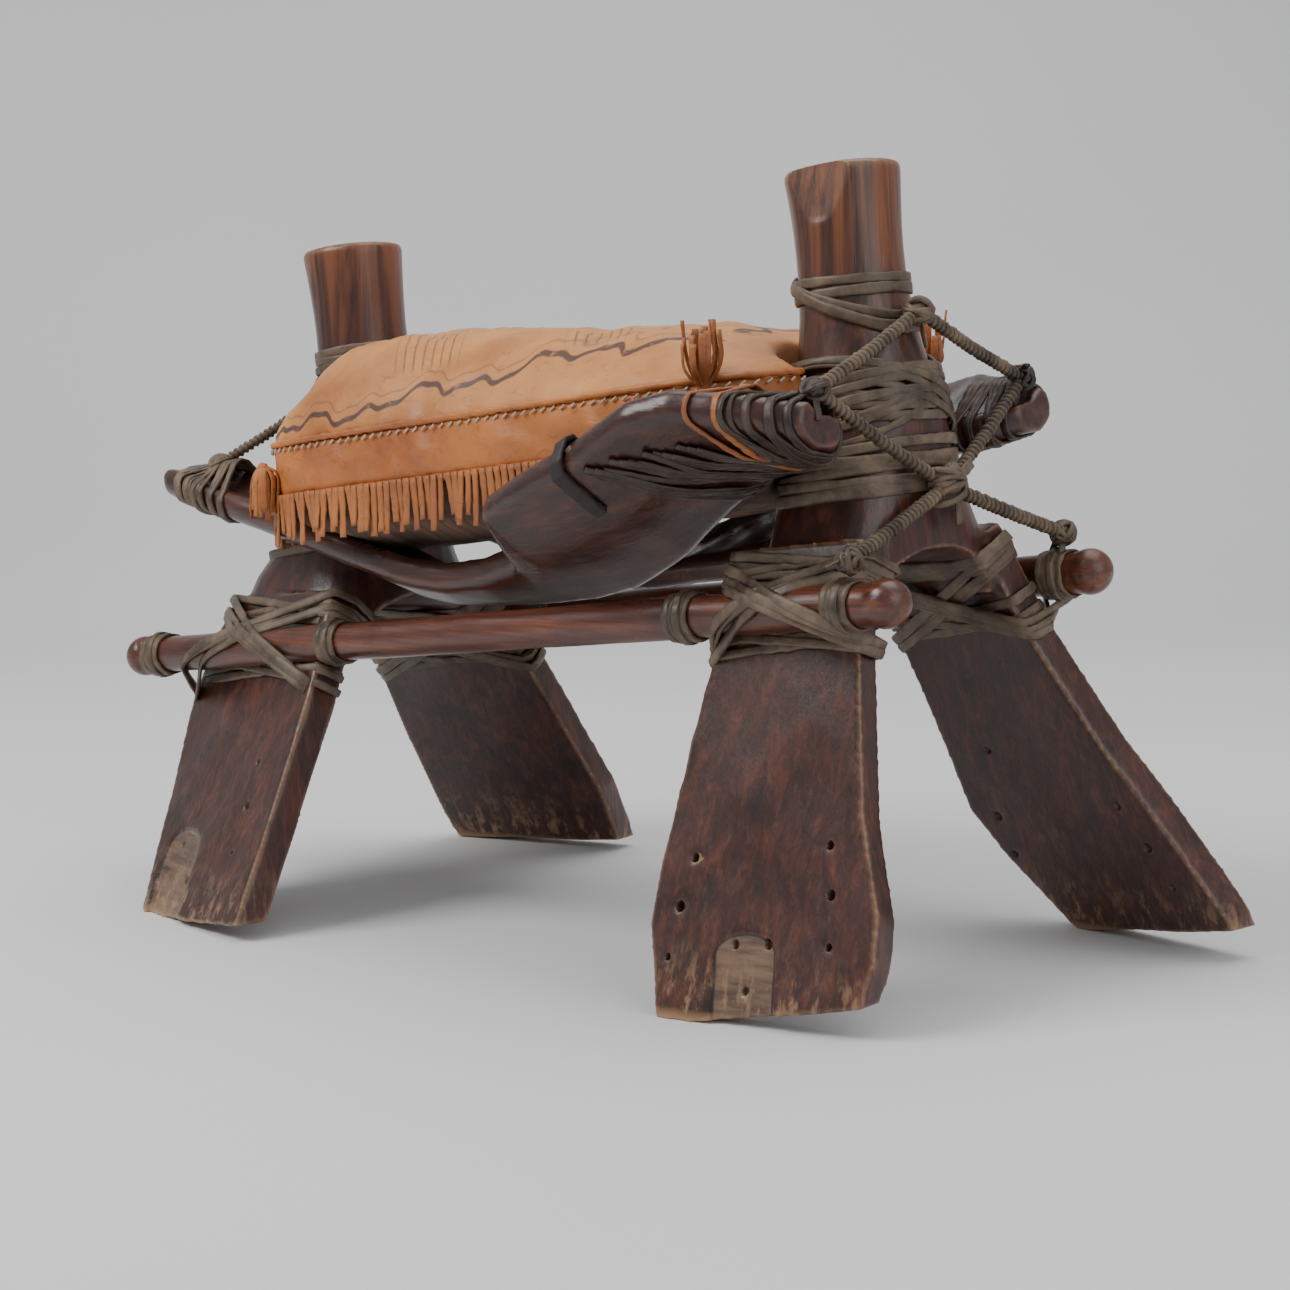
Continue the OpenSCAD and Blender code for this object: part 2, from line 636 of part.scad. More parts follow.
front_fork();
rear_fork();
near_side_board();
far_side_board();
near_rail();
far_rail();
near_front_rail_lashing();
far_front_rail_lashing();
near_rear_rail_lashing();
far_rear_rail_lashing();
near_front_board_lashing();
far_front_board_lashing();
near_rear_board_lashing();
far_rear_board_lashing();
front_neck_strap();
rear_neck_strap();
front_waist_strap();
rear_waist_strap();
front_knot();
near_front_neck_stay();
far_front_neck_stay();
near_front_cross_stay();
far_front_cross_stay();
near_front_rail_stay();
far_front_rail_stay();
near_rear_neck_stay();
far_rear_neck_stay();
near_slot_strap();
near_tie_strip();
cushion_top();
cushion_band();
cushion_filling();
cushion_base();
cushion_fringe();
near_rear_tassel();
far_rear_tassel();
near_front_tassel();
far_front_tassel();
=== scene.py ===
"""Camel saddle stool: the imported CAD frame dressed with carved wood, rawhide and a leather cushion.

The level frame is the saddle's own: millimetres, x forward along the rails, z square to them.
at() turns it into the row frame's metres. Every piece rides on a CAD body.
"""
import json
from math import cos, sin, pi, radians

import bpy
import numpy as np
from mathutils import Matrix, Vector
from mathutils.bvhtree import BVHTree


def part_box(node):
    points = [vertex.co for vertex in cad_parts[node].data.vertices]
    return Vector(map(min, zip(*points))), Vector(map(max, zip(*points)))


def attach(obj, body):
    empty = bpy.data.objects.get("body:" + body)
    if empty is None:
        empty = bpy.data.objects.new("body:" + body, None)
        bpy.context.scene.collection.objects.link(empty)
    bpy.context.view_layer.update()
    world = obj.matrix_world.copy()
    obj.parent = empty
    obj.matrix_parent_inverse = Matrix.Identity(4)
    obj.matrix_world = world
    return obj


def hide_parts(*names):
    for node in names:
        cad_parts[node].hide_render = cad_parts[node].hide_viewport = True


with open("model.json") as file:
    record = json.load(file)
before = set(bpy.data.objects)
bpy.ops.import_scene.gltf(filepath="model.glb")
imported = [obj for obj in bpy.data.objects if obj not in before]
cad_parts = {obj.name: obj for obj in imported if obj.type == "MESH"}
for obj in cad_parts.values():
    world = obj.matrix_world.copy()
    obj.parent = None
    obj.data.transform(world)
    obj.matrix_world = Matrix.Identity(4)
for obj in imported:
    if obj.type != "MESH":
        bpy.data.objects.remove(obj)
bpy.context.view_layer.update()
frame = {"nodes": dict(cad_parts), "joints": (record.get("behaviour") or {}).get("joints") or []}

MM = 0.001
FRAME_BODY, CUSHION_BODY = "saddle_frame", "cushion"

# ---- the level frame ----

LIFT = next(j for j in frame["joints"] if j["name"] == "cushion_lift")["axis"]
TILT_SIN, TILT_COS = -LIFT[0], LIFT[2]
LEVEL_SHIFT = -34.6          # the level origin along the row's x, mm
UP = Vector((-TILT_SIN, 0, TILT_COS))


def level_array(points):
    """Level millimetres to row metres, for an n by 3 array."""
    p = np.asarray(points, dtype=float)
    x = p[..., 0] * TILT_COS - p[..., 2] * TILT_SIN + LEVEL_SHIFT
    z = p[..., 0] * TILT_SIN + p[..., 2] * TILT_COS
    return np.stack([x, p[..., 1], z], axis=-1) * MM


def to_level(points):
    """Row metres to level millimetres, for an n by 3 array."""
    p = np.asarray(points, dtype=float) / MM
    x = p[..., 0] - LEVEL_SHIFT
    return np.stack([x * TILT_COS + p[..., 2] * TILT_SIN, p[..., 1],
                     p[..., 2] * TILT_COS - x * TILT_SIN], axis=-1)


def at(x, y, z):
    return Vector(level_array((x, y, z)).tolist())


# ---- sizes, level millimetres ----

RAIL_Y, RAIL_Z = 98.3, 193.5
FRONT_X, REAR_X = 269.6, -155.9            # pommel axes
FRONT_LEG_X, REAR_LEG_X = 267.0, -190.0
FRONT_TOP = 440.6
POMMEL_ROOM = 47.5
NECK_Z = 371.0
SEAM_Z, BAND_H = 324.0, 34.0
CUSHION_REAR, CUSHION_FRONT, CUSHION_HALF = -165.9, 266.6, 116.0
MID_X = (CUSHION_REAR + CUSHION_FRONT) / 2
HALF_X = (CUSHION_FRONT - CUSHION_REAR) / 2
CORNER_WAY = 216             # the way round where a long side gives over to an end
SQUARE = 5.0
NEAR, FAR = -1, 1
SIDES = ((NEAR, "near"), (FAR, "far"))

# ---- mesh helpers ----


def new_object(name, verts, faces, smooth=True):
    mesh = bpy.data.meshes.new(name)
    mesh.from_pydata([tuple(v) for v in verts], [], [tuple(f) for f in faces])
    mesh.validate()
    if smooth:
        mesh.shade_smooth()
    obj = bpy.data.objects.new(name, mesh)
    bpy.context.scene.collection.objects.link(obj)
    return obj


def coords(obj):
    out = np.empty(len(obj.data.vertices) * 3, dtype=np.float32)
    obj.data.vertices.foreach_get("co", out)
    return out.reshape(-1, 3).astype(float)


def set_coords(obj, co):
    obj.data.vertices.foreach_set("co", np.asarray(co, dtype=np.float32).ravel())
    obj.data.update()


def normals(obj):
    out = np.empty(len(obj.data.vertices) * 3, dtype=np.float32)
    obj.data.vertices.foreach_get("normal", out)
    return out.reshape(-1, 3).astype(float)


def bake_modifiers(obj):
    """Replaces an object's mesh with its evaluated one and drops the modifiers."""
    deps = bpy.context.evaluated_depsgraph_get()
    mesh = bpy.data.meshes.new_from_object(obj.evaluated_get(deps))
    obj.modifiers.clear()
    obj.data = mesh
    mesh.shade_smooth()


def lumps(co, wave, seed, terms=7):
    """Smooth noise from -1 to 1 over points in metres, with bumps about wave long."""
    rng = np.random.default_rng(seed)
    total = np.zeros(len(co))
    for _ in range(terms):
        way = rng.normal(size=3)
        way /= np.linalg.norm(way)
        total += np.sin(co @ way * (2 * pi / wave) * rng.uniform(0.6, 1.6) + rng.uniform(0, 2 * pi))
    return total / (0.55 * terms)


def finish_piece(obj, name, body, slot, material, *nodes):
    obj.name = name
    obj.data.name = name
    obj.data.materials.clear()
    obj.data.materials.append(material)
    if nodes:
        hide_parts(*nodes)
    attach(obj, body)
    return obj


# ---- material helpers ----


class Nodes:
    """A small builder for one material's node tree."""

    def __init__(self, name):
        self.material = bpy.data.materials.new(name)
        self.material.use_nodes = True
        self.tree = self.material.node_tree
        self.tree.nodes.clear()
        self.out = self.tree.nodes.new("ShaderNodeOutputMaterial")
        self.shader = self.tree.nodes.new("ShaderNodeBsdfPrincipled")
        self.link(self.shader.outputs[0], self.out.inputs["Surface"])

    def link(self, a, b):
        self.tree.links.new(a, b)

    def put(self, socket, value):
        if isinstance(value, bpy.types.NodeSocket):
            self.link(value, socket)
        elif isinstance(value, (tuple, list)) and len(value) == 3 and socket.type == "RGBA":
            socket.default_value = (*value, 1.0)
        else:
            socket.default_value = value

    def node(self, kind, **inputs):
        n = self.tree.nodes.new(kind)
        for key, value in inputs.items():
            self.put(n.inputs[key.replace("_", " ")], value)
        return n

    def place(self, scale=(1, 1, 1), turn=(0, 0, 0)):
        """Object coordinates, turned and stretched."""
        tex = self.tree.nodes.new("ShaderNodeTexCoord")
        mapping = self.node("ShaderNodeMapping", Vector=tex.outputs["Object"], Scale=scale, Rotation=turn)
        return mapping.outputs[0]

    def noise(self, vector, scale, detail=4.0, rough=0.55, warp=0.0):
        n = self.node("ShaderNodeTexNoise", Vector=vector, Scale=scale, Detail=detail,
                      Roughness=rough, Distortion=warp)
        return n.outputs["Fac"]

    def span(self, value, low, high, to_low=0.0, to_high=1.0):
        n = self.node("ShaderNodeMapRange", Value=value, From_Min=low, From_Max=high,
                      To_Min=to_low, To_Max=to_high)
        return n.outputs[0]

    def math(self, kind, a, b=0.0):
        n = self.tree.nodes.new("ShaderNodeMath")
        n.operation = kind
        self.put(n.inputs[0], a)
        self.put(n.inputs[1], b)
        return n.outputs[0]

    def mix(self, fac, a, b):
        n = self.tree.nodes.new("ShaderNodeMix")
        n.data_type = "RGBA"
        self.put(n.inputs[0], fac)
        self.put(n.inputs[6], a)
        self.put(n.inputs[7], b)
        return n.outputs[2]

    def ramp(self, fac, stops):
        n = self.node("ShaderNodeValToRGB", Fac=fac)
        line = n.color_ramp
        while len(line.elements) < len(stops):
            line.elements.new(0.5)
        for element, (place, colour) in zip(line.elements, stops):
            element.position = place
            element.color = (*colour, 1.0)
        return n.outputs["Color"]

    def attribute(self, name):
        n = self.tree.nodes.new("ShaderNodeAttribute")
        n.attribute_name = name
        return n.outputs["Fac"]

    def pointiness(self):
        return self.tree.nodes.new("ShaderNodeNewGeometry").outputs["Pointiness"]

    def height(self):
        """Object-space height, metres."""
        tex = self.tree.nodes.new("ShaderNodeTexCoord")
        split = self.node("ShaderNodeSeparateXYZ", Vector=tex.outputs["Object"])
        return split.outputs["Z"]

    def bump(self, height, strength, distance=MM, under=None):
        n = self.node("ShaderNodeBump", Height=height, Strength=strength, Distance=distance)
        if under is not None:
            self.link(under, n.inputs["Normal"])
        return n.outputs[0]

    def finish(self, colour, rough, normal=None, **extra):
        self.put(self.shader.inputs["Base Color"], colour)
        self.put(self.shader.inputs["Roughness"], rough)
        if normal is not None:
            self.link(normal, self.shader.inputs["Normal"])
        for key, value in extra.items():
            self.put(self.shader.inputs[key.replace("_", " ")], value)
        return self.material


def wood(name, grain, dark, mid, light, raw, gloss, wear, foot_wear=False, painted_top_highlight=False):
    """Old polished wood. grain is the object axis that the fibres follow."""
    n = Nodes(name)
    stretch = [120.0, 120.0, 120.0]
    stretch[grain] = 5.0
    fine = [640.0, 640.0, 640.0]
    fine[grain] = 18.0
    along = n.place(tuple(stretch))
    fibre = n.noise(along, 1.0, 8.0, 0.62, 0.6)
    pores = n.noise(n.place(tuple(fine)), 1.0, 3.0, 0.6)
    cloud = n.noise(n.place(), 9.0, 5.0, 0.6, 0.4)
    grime = n.noise(n.place(), 26.0, 6.0, 0.7, 0.2)
    colour = n.ramp(n.math("ADD", n.math("MULTIPLY", fibre, 0.75), n.math("MULTIPLY", cloud, 0.25)),
                    [(0.30, dark), (0.50, mid), (0.66, light)])
    colour = n.mix(n.span(pores, 0.50, 0.72, 0.0, 0.55), colour, dark)
    colour = n.mix(n.span(grime, 0.52, 0.70, 0.0, 0.6), colour, tuple(c * 0.35 for c in dark))
    height = n.height()
    # Painted highlight: the fibres near the top of the fork, above about 0.35 m, are painted a lighter red,
    # as where light falls on the pommels' tops.
    if painted_top_highlight:
        pommel_highlight = n.math("MULTIPLY", n.span(height, 0.35, 0.44), n.span(fibre, 0.34, 0.56))
        colour = n.mix(n.math("MULTIPLY", pommel_highlight, 0.62), colour, (0.27, 0.090, 0.028))
    edge = n.span(n.pointiness(), 0.515, 0.56)
    worn = n.math("MULTIPLY", edge, n.span(grime, 0.42, 0.56, wear * 0.35, wear))
    colour = n.mix(worn, colour, raw)
    scratch = n.noise(n.place((300, 300, 300), (0.3, 0.5, 0.2)), 0.5, 9.0, 0.85, 2.0)
    paler = n.math("MULTIPLY", n.span(scratch, 0.60, 0.70), 0.55)
    colour = n.mix(paler, colour, light)
    if foot_wear:
        inside = n.attribute("patch")
        filled = n.span(inside, -0.4, 0.4)
        patch_wood = n.ramp(n.noise(n.place((24, 24, 160), (0, radians(70), 0)), 1.0, 6.0, 0.65),
                            [(0.35, (0.060, 0.036, 0.026)), (0.60, (0.215, 0.135, 0.085))])
        colour = n.mix(n.math("MULTIPLY", filled, 0.85), colour, patch_wood)
        rim = n.span(n.math("ABSOLUTE", inside), 1.3, 0.4, 0.0, 0.9)
        colour = n.mix(rim, colour, (0.012, 0.006, 0.005))
        low = n.span(height, 0.045, 0.002)
        ragged = n.span(n.noise(n.place((150, 150, 20)), 1.0, 6.0, 0.7), 0.50, 0.64)
        bare = n.math("MULTIPLY", n.math("MULTIPLY", low, ragged), 0.9)
        sole = n.span(height, 0.007, 0.001)
        bare = n.math("MAXIMUM", bare, n.math("MULTIPLY", sole, 0.9))
        colour = n.mix(bare, colour, raw)
        scuff = n.math("MULTIPLY", n.span(height, 0.20, 0.05, 0.0, 0.3),
                       n.span(n.noise(n.place((160, 160, 40)), 1.0, 8.0, 0.8), 0.52, 0.66))
        colour = n.mix(scuff, colour, (0.20, 0.105, 0.075))
    rough = n.math("ADD", n.span(cloud, 0.3, 0.7, gloss - 0.07, gloss + 0.12),
                   n.math("MULTIPLY", worn, 0.25))
    normal = n.bump(fibre, 0.6, 0.6 * MM)
    normal = n.bump(pores, 0.45, 0.4 * MM, normal)
    return n.finish(colour, rough, normal, Coat_Weight=0.22, Coat_Roughness=0.28)


def rawhide(name, pale, deep, rough=0.5):
    n = Nodes(name)
    blotch = n.noise(n.place(), 42.0, 5.0, 0.65)
    fibre = n.noise(n.place((260, 260, 260)), 1.0, 4.0, 0.6)
    between = tuple((a + b) / 2 for a, b in zip(pale, deep))
    colour = n.ramp(blotch, [(0.32, deep), (0.52, between), (0.68, pale)])
    colour = n.mix(n.span(fibre, 0.55, 0.75, 0.0, 0.5), colour, deep)
    edge = n.span(n.pointiness(), 0.52, 0.60, 0.0, 0.5)
    colour = n.mix(edge, colour, tuple(min(1.0, c * 1.5) for c in pale))
    normal = n.bump(fibre, 0.5, 0.35 * MM)
    normal = n.bump(blotch, 0.35, 0.8 * MM, normal)
    return n.finish(colour, n.span(blotch, 0.3, 0.7, rough - 0.08, rough + 0.15), normal)


WOOD_RAW = (0.40, 0.235, 0.12)
# The fork wood carries the painted highlight on the pommels' tops.
FORK_WOOD = wood("fork_wood", 2, (0.010, 0.0036, 0.0030), (0.050, 0.0115, 0.0070), (0.120, 0.030, 0.0140),
                 WOOD_RAW, 0.31, 0.8, foot_wear=True, painted_top_highlight=True)
BOARD_WOOD = wood("board_wood", 0, (0.012, 0.005, 0.0045), (0.045, 0.013, 0.009), (0.105, 0.030, 0.015),
                  (0.20, 0.075, 0.032), 0.27, 0.75)
RAIL_WOOD = wood("rail_wood", 0, (0.022, 0.007, 0.005), (0.100, 0.026, 0.014), (0.210, 0.062, 0.024),
                 (0.36, 0.17, 0.07), 0.30, 0.7)
RAWHIDE = rawhide("rawhide", (0.200, 0.140, 0.090), (0.042, 0.026, 0.017), 0.46)
# A darker hide: the front board lashings take it, and on the thong net it is painted shade, for those
# thongs lie in shadow between the boards and the fork.
DARK_HIDE_AND_SHADE = rawhide("dark_rawhide_and_shade", (0.080, 0.048, 0.034), (0.016, 0.0095, 0.0075), 0.42)
BLACK_STRAP = rawhide("black_strap", (0.030, 0.020, 0.017), (0.007, 0.005, 0.005), 0.5)

# ---- carved wood, softened from the CAD solids ----


def carve(node, name, material, slot, voxel=1.9, rounds=8, wobble=0.5, shape=None):
    """The node's own shape with its edges worn soft and the hand-cut unevenness of old wood."""
    source = frame["nodes"][node]
    obj = bpy.data.objects.new(name, source.data.copy())
    bpy.context.scene.collection.objects.link(obj)
    remesh = obj.modifiers.new("voxels", "REMESH")
    remesh.mode = "VOXEL"
    remesh.voxel_size = voxel * MM
    soften = obj.modifiers.new("soften", "SMOOTH")
    soften.iterations = rounds
    soften.factor = 0.5
    bake_modifiers(obj)
    co = coords(obj)
    nor = normals(obj)
    uneven = lumps(co, 0.085, 11) * wobble + lumps(co, 0.030, 12) * wobble * 0.12
    co = co + nor * (uneven * MM)[:, None]
    if shape is not None:
        co = shape(co)
    co[:, 2] = np.maximum(co[:, 2], 0.0)
    set_coords(obj, co)
    return finish_piece(obj, name, FRAME_BODY, slot, material, node)


def scarf_pommel(co):
    """Cuts the flat scarf of an old repair into the front pommel's top."""
    lv = to_level(co)
    out = np.array((0.10, -0.995))
    reach = (lv[:, 0] - FRONT_X) * out[0] + lv[:, 1] * out[1]
    slope = 25.5 + np.clip(FRONT_TOP - lv[:, 2], 0, 60) * 0.16
    extra = np.clip(reach - slope, 0, None) * np.clip((lv[:, 2] - (FRONT_TOP - 34)) / 3, 0, 1)
    lv[:, 0] -= extra * out[0]
    lv[:, 1] -= extra * out[1]
    return level_array(lv)


def plank_at(x, side, lean, toe):
    """The frame of a leg plank: x across it, z up it, in level millimetres."""
    return (Matrix.Translation((x, side * 75, RAIL_Z)) @ Matrix.Rotation(radians(side * toe), 4, "Z")
            @ Matrix.Rotation(radians(side * lean), 4, "X"))


# Each leg's plank: its place, its side, its lean and its toe-in.
PLANKS = {("front", NEAR): (FRONT_LEG_X, NEAR, 17.9, -10),
          ("front", FAR): (FRONT_LEG_X, FAR, 20.7, -10),
          ("rear", NEAR): (REAR_LEG_X, NEAR, 28, 10),
          ("rear", FAR): (REAR_LEG_X, FAR, 28, 10)}
NAIL_HOLES = {
    ("front", NEAR): ((-52, -141), (-60, -168), (-66, -196), (33, -136), (35, -163),
                      (35, -191), (-24, -189), (-3, -189), (-17, -214)),
    ("front", FAR): ((-17, -108), (-31, -155), (-29, -182), (73, -145), (84, -173), (92, -200)),
    ("rear", NEAR): ((47, -88), (50, -118), (51, -150), (-24, -146), (-2, -171)),
}
HOLE_SIDES = 14


def bore(obj, end):
    """Cuts the old nail holes of one fork's legs."""
    verts, faces = [], []
    for (fork, side), places in NAIL_HOLES.items():
        if fork != end:
            continue
        home = plank_at(*PLANKS[(fork, side)])
        for k, (a, b) in enumerate(places):
            base = len(verts)
            r = 2.4 + 0.5 * sin(k * 2.1)
            for y in (-16.0, -3.0):
                for j in range(HOLE_SIDES):
                    t = 2 * pi * j / HOLE_SIDES
                    verts.append(at(*(home @ Vector((a + r * cos(t), y, b + r * 1.15 * sin(t))))))
            faces.append([base + j for j in range(HOLE_SIDES)])
            faces.append([base + HOLE_SIDES + j for j in range(HOLE_SIDES - 1, -1, -1)])
            for j in range(HOLE_SIDES):
                after = (j + 1) % HOLE_SIDES
                faces.append([base + j, base + HOLE_SIDES + j, base + HOLE_SIDES + after, base + after])
    cutter = new_object("bore", verts, faces, False)
    cut = obj.modifiers.new("holes", "BOOLEAN")
    cut.operation, cut.solver, cut.object = "DIFFERENCE", "EXACT", cutter
    bake_modifiers(obj)
    bpy.data.objects.remove(cutter)


# The let-in patch of each near foot: its middle, half width and top on the plank.
PATCHES = {"front": (-17, 19, -184), "rear": (-18, 22, -136)}


def foot_patch(obj, end):
    """Marks the let-in patch on the near foot, for the wood's colour."""
    middle, half, top = PATCHES[end]
    home = plank_at(*PLANKS[(end, NEAR)]).inverted()
    lv = to_level(coords(obj))
    local = lv @ np.array(home.to_3x3()).T + np.array(home.translation)
    a, b = local[:, 0] - middle, local[:, 2] - (top - half * 0.6)
    inside = np.where(b > 0, half - np.hypot(a, b / 0.6), half - np.abs(a))
    inside = np.where(local[:, 1] < 0, inside, -20)
    write_field(obj, "patch", np.clip(inside, -20, 20))


def write_field(obj, name, values):
    layer = obj.data.attributes.new(name, "FLOAT", "POINT")
    layer.data.foreach_set("value", np.asarray(values, dtype=np.float32))


front_fork = carve("front_fork", "carved_front_fork", FORK_WOOD, "fork_wood", shape=scarf_pommel)
rear_fork = carve("rear_fork", "carved_rear_fork", FORK_WOOD, "fork_wood")
FORKS = {"front": front_fork, "rear": rear_fork}
for end, fork in FORKS.items():
    bore(fork, end)
    foot_patch(fork, end)
boards = {side: carve(f"{word}_side_board", f"carved_{word}_board", BOARD_WOOD, "board_wood",
                      2.0, 14, 0.7) for side, word in SIDES}
rails = {side: carve(f"{word}_rail", f"turned_{word}_rail", RAIL_WOOD, "rail_wood",
                     1.6, 5, 0.45) for side, word in SIDES}

# ---- rods, bands and wrapped cord ----


def spline(points, count):
    """Catmull-Rom through the points, evenly spaced in count samples."""
    p = [Vector(q) for q in points]
    if len(p) == 2:
        dense = [p[0].lerp(p[1], i / 20) for i in range(21)]
    else:
        ends = [p[0] * 2 - p[1]] + p + [p[-1] * 2 - p[-2]]
        dense = []
        for a, b, c, d in zip(ends, ends[1:], ends[2:], ends[3:]):
            for i in range(16):
                t = i / 16
                dense.append(0.5 * ((2 * b) + (c - a) * t + (2 * a - 5 * b + 4 * c - d) * t * t
                                    + (3 * b - a - 3 * c + d) * t ** 3))
        dense.append(p[-1])
    reach = [0.0]
    for a, b in zip(dense, dense[1:]):
        reach.append(reach[-1] + (b - a).length)
    out, k = [], 0
    for i in range(count):
        want = reach[-1] * i / (count - 1)
        while k < len(reach) - 2 and reach[k + 1] < want:
            k += 1
        step = reach[k + 1] - reach[k]
        out.append(dense[k].lerp(dense[k + 1], (want - reach[k]) / step if step > 1e-12 else 0))
    return out


def sweep(line, outline, facing=None, closed=False):
    """Verts and faces of an outline carried along a line.

    outline(i, t) gives (across, out) offsets in metres. facing(point, along) gives the out
    direction; without it the frame is carried along without twist.
    """
    n = len(line)
    verts, faces = [], []
    carried = None
    size = None
    for i, point in enumerate(line):
        if closed:
            along = (line[(i + 1) % n] - line[i - 1]).normalized()
        else:
            along = (line[min(i + 1, n - 1)] - line[max(i - 1, 0)]).normalized()
        if facing is not None:
            out = facing(point, along)
        else:
            out = carried if carried is not None else along.orthogonal()
        out = (out - along * out.dot(along)).normalized()
        carried = out
        across = along.cross(out)
        ring = [point + across * a + out * b for a, b in outline(i, i / (n - 1))]
        size = len(ring)
        verts += ring
    spans = n if closed else n - 1
    for i in range(spans):
        for j in range(size):
            a, b = i * size, ((i + 1) % n) * size
            k = (j + 1) % size
            faces.append((a + j, a + k, b + k, b + j))
    if not closed:
        faces.append(tuple(range(size))[::-1])
        faces.append(tuple((n - 1) * size + j for j in range(size)))
    return verts, faces


class Parts:
    """Gathers several swept shapes into one mesh."""

    def __init__(self):
        self.verts, self.faces = [], []

    def add(self, verts, faces):
        base = len(self.verts)
        self.verts += [tuple(v) for v in verts]
        self.faces += [tuple(base + k for k in f) for f in faces]

    def tube(self, points, radius, sides=10, count=None, closed=False):
        """A round rod through the points; radius in mm."""
        line = points if count is None else spline(points, count)

        def outline(i, t):
            r = radius * MM
            return [(r * cos(2 * pi * k / sides), r * sin(2 * pi * k / sides)) for k in range(sides)]
        self.add(*sweep(line, outline, closed=closed))

    def wrapped(self, points, radius, pitch=4.0, thread=1.25):
        """A cord bound closely along its length with a thin thong; mm."""
        total = sum((Vector(b) - Vector(a)).length for a, b in zip(points, points[1:])) / MM
        rounds = max(4, int(total / pitch))
        core = spline(points, max(12, rounds))
        self.tube(core, radius - thread * 0.9, 10)
        per = 9
        line = spline(points, rounds * per + 1)
        coil = []
        carried = None
        for i, point in enumerate(line):
            along = (line[min(i + 1, len(line) - 1)] - line[max(i - 1, 0)]).normalized()
            out = carried if carried is not None else along.orthogonal()
            out = (out - along * out.dot(along)).normalized()
            carried = out
            across = along.cross(out)
            turn = 2 * pi * i / per
            wave = radius - thread + 0.12 * sin(i * 0.37)
            coil.append(point + (out * cos(turn) + across * sin(turn)) * wave * MM)
        self.tube(coil, thread * 1.25, 5)

    def band(self, points, width, thick, facing, count=40, closed=False, worn=0.0, seed=1):
        """A flat strap; facing(point, along) points away from what it lies on."""
        line = points if count is None else spline(points, count)
        rng = np.random.default_rng(seed)
        phase = rng.uniform(0, 2 * pi, 4)

        def outline(i, t):
            turn = 2 * pi * t
            w = width * MM * 0.5 * (1 + worn * sin(turn * 3 + phase[0]) + worn * sin(turn * 7 + phase[1]))
            h = thick * MM * 0.5
            dish = 0.25 * h * sin(turn * 5 + phase[2])
            return [(w, -h * 0.3), (w * 0.92, h * 0.7), (w * 0.5, h + dish), (-w * 0.5, h + dish),
                    (-w * 0.92, h * 0.7), (-w, -h * 0.3), (-w * 0.7, -h), (w * 0.7, -h)]
        self.add(*sweep(line, outline, facing, closed))

    def lump(self, centre, size, seed, knobs=0.18):
        """A tight knot: a ball with folds; size in mm along x, y, z of the row frame."""
        rows, cols = 12, 18
        rng = np.random.default_rng(seed)
        ph = rng.uniform(0, 2 * pi, 6)
        verts, faces = [], []
        for i in range(rows + 1):
            a = pi * i / rows
            for j in range(cols):
                b = 2 * pi * j / cols
                d = Vector((sin(a) * cos(b), sin(a) * sin(b), cos(a)))
                fold = sin(5 * b + 3 * a + ph[0]) * 0.5 + sin(4 * a - 2 * b + ph[1]) * 0.5
                k = 1 - knobs * 0.5 + knobs * 0.5 * fold
                reach = Vector((d.x * size[0], d.y * size[1], d.z * size[2]))
                verts.append(Vector(centre) + reach * (k * MM))
        for i in range(rows):
            for j in range(cols):
                k = (j + 1) % cols
                faces.append((i * cols + j, i * cols + k, (i + 1) * cols + k, (i + 1) * cols + j))
        self.add(verts, faces)

    def build(self, name, material, slot, body, *nodes, worn=0.25, seed=3):
        obj = new_object(name, self.verts, self.faces)
        co = coords(obj)
        set_coords(obj, co + normals(obj) * (lumps(co, 0.009, seed, 5) * worn * MM)[:, None])
        return finish_piece(obj, name, body, slot, material, *nodes)


# ---- what the thongs lie on ----

trees = {}


def tree(key, *objects):
    """One search tree over several carved objects."""
    if key not in trees:
        verts, faces = [], []
        for obj in objects:
            base = len(verts)
            verts += [v.co.copy() for v in obj.data.vertices]
            faces += [tuple(base + k for k in p.vertices) for p in obj.data.polygons]
        trees[key] = BVHTree.FromPolygons(verts, faces)
    return trees[key]


front_tree = tree("front", front_fork)
rear_tree = tree("rear", rear_fork)


def shrink_loop(wood, centre, normal, height, count=72, start=0.16):
    """A loop round a carved piece: rays from outside toward the centre, pulled taut like a strap."""
    axis = Vector(normal).normalized()
    u = axis.orthogonal().normalized()
    v = axis.cross(u)
    ring = []
    for i in range(count):
        a = 2 * pi * i / count
        way = u * cos(a) + v * sin(a)
        hit = wood.ray_cast(centre + way * start, -way, start)
        ring.append((hit[0] + way * height * MM) if hit[0] is not None else centre + way * 0.01)
    flat = [((p - centre).dot(u), (p - centre).dot(v)) for p in ring]
    hull = hull_2d(flat)
    out = []
    for i in range(count):
        a = 2 * pi * i / count
        r = hull_ray(hull, a)
        out.append(centre + u * (r * cos(a)) + v * (r * sin(a)))
    return out


def hull_2d(points):
    pts = sorted(set(points))

    def half(seq):
        out = []
        for p in seq:
            while len(out) > 1 and ((out[-1][0] - out[-2][0]) * (p[1] - out[-2][1])
                                    - (out[-1][1] - out[-2][1]) * (p[0] - out[-2][0])) <= 0:
                out.pop()
            out.append(p)
        return out
    return half(pts)[:-1] + half(pts[::-1])[:-1]


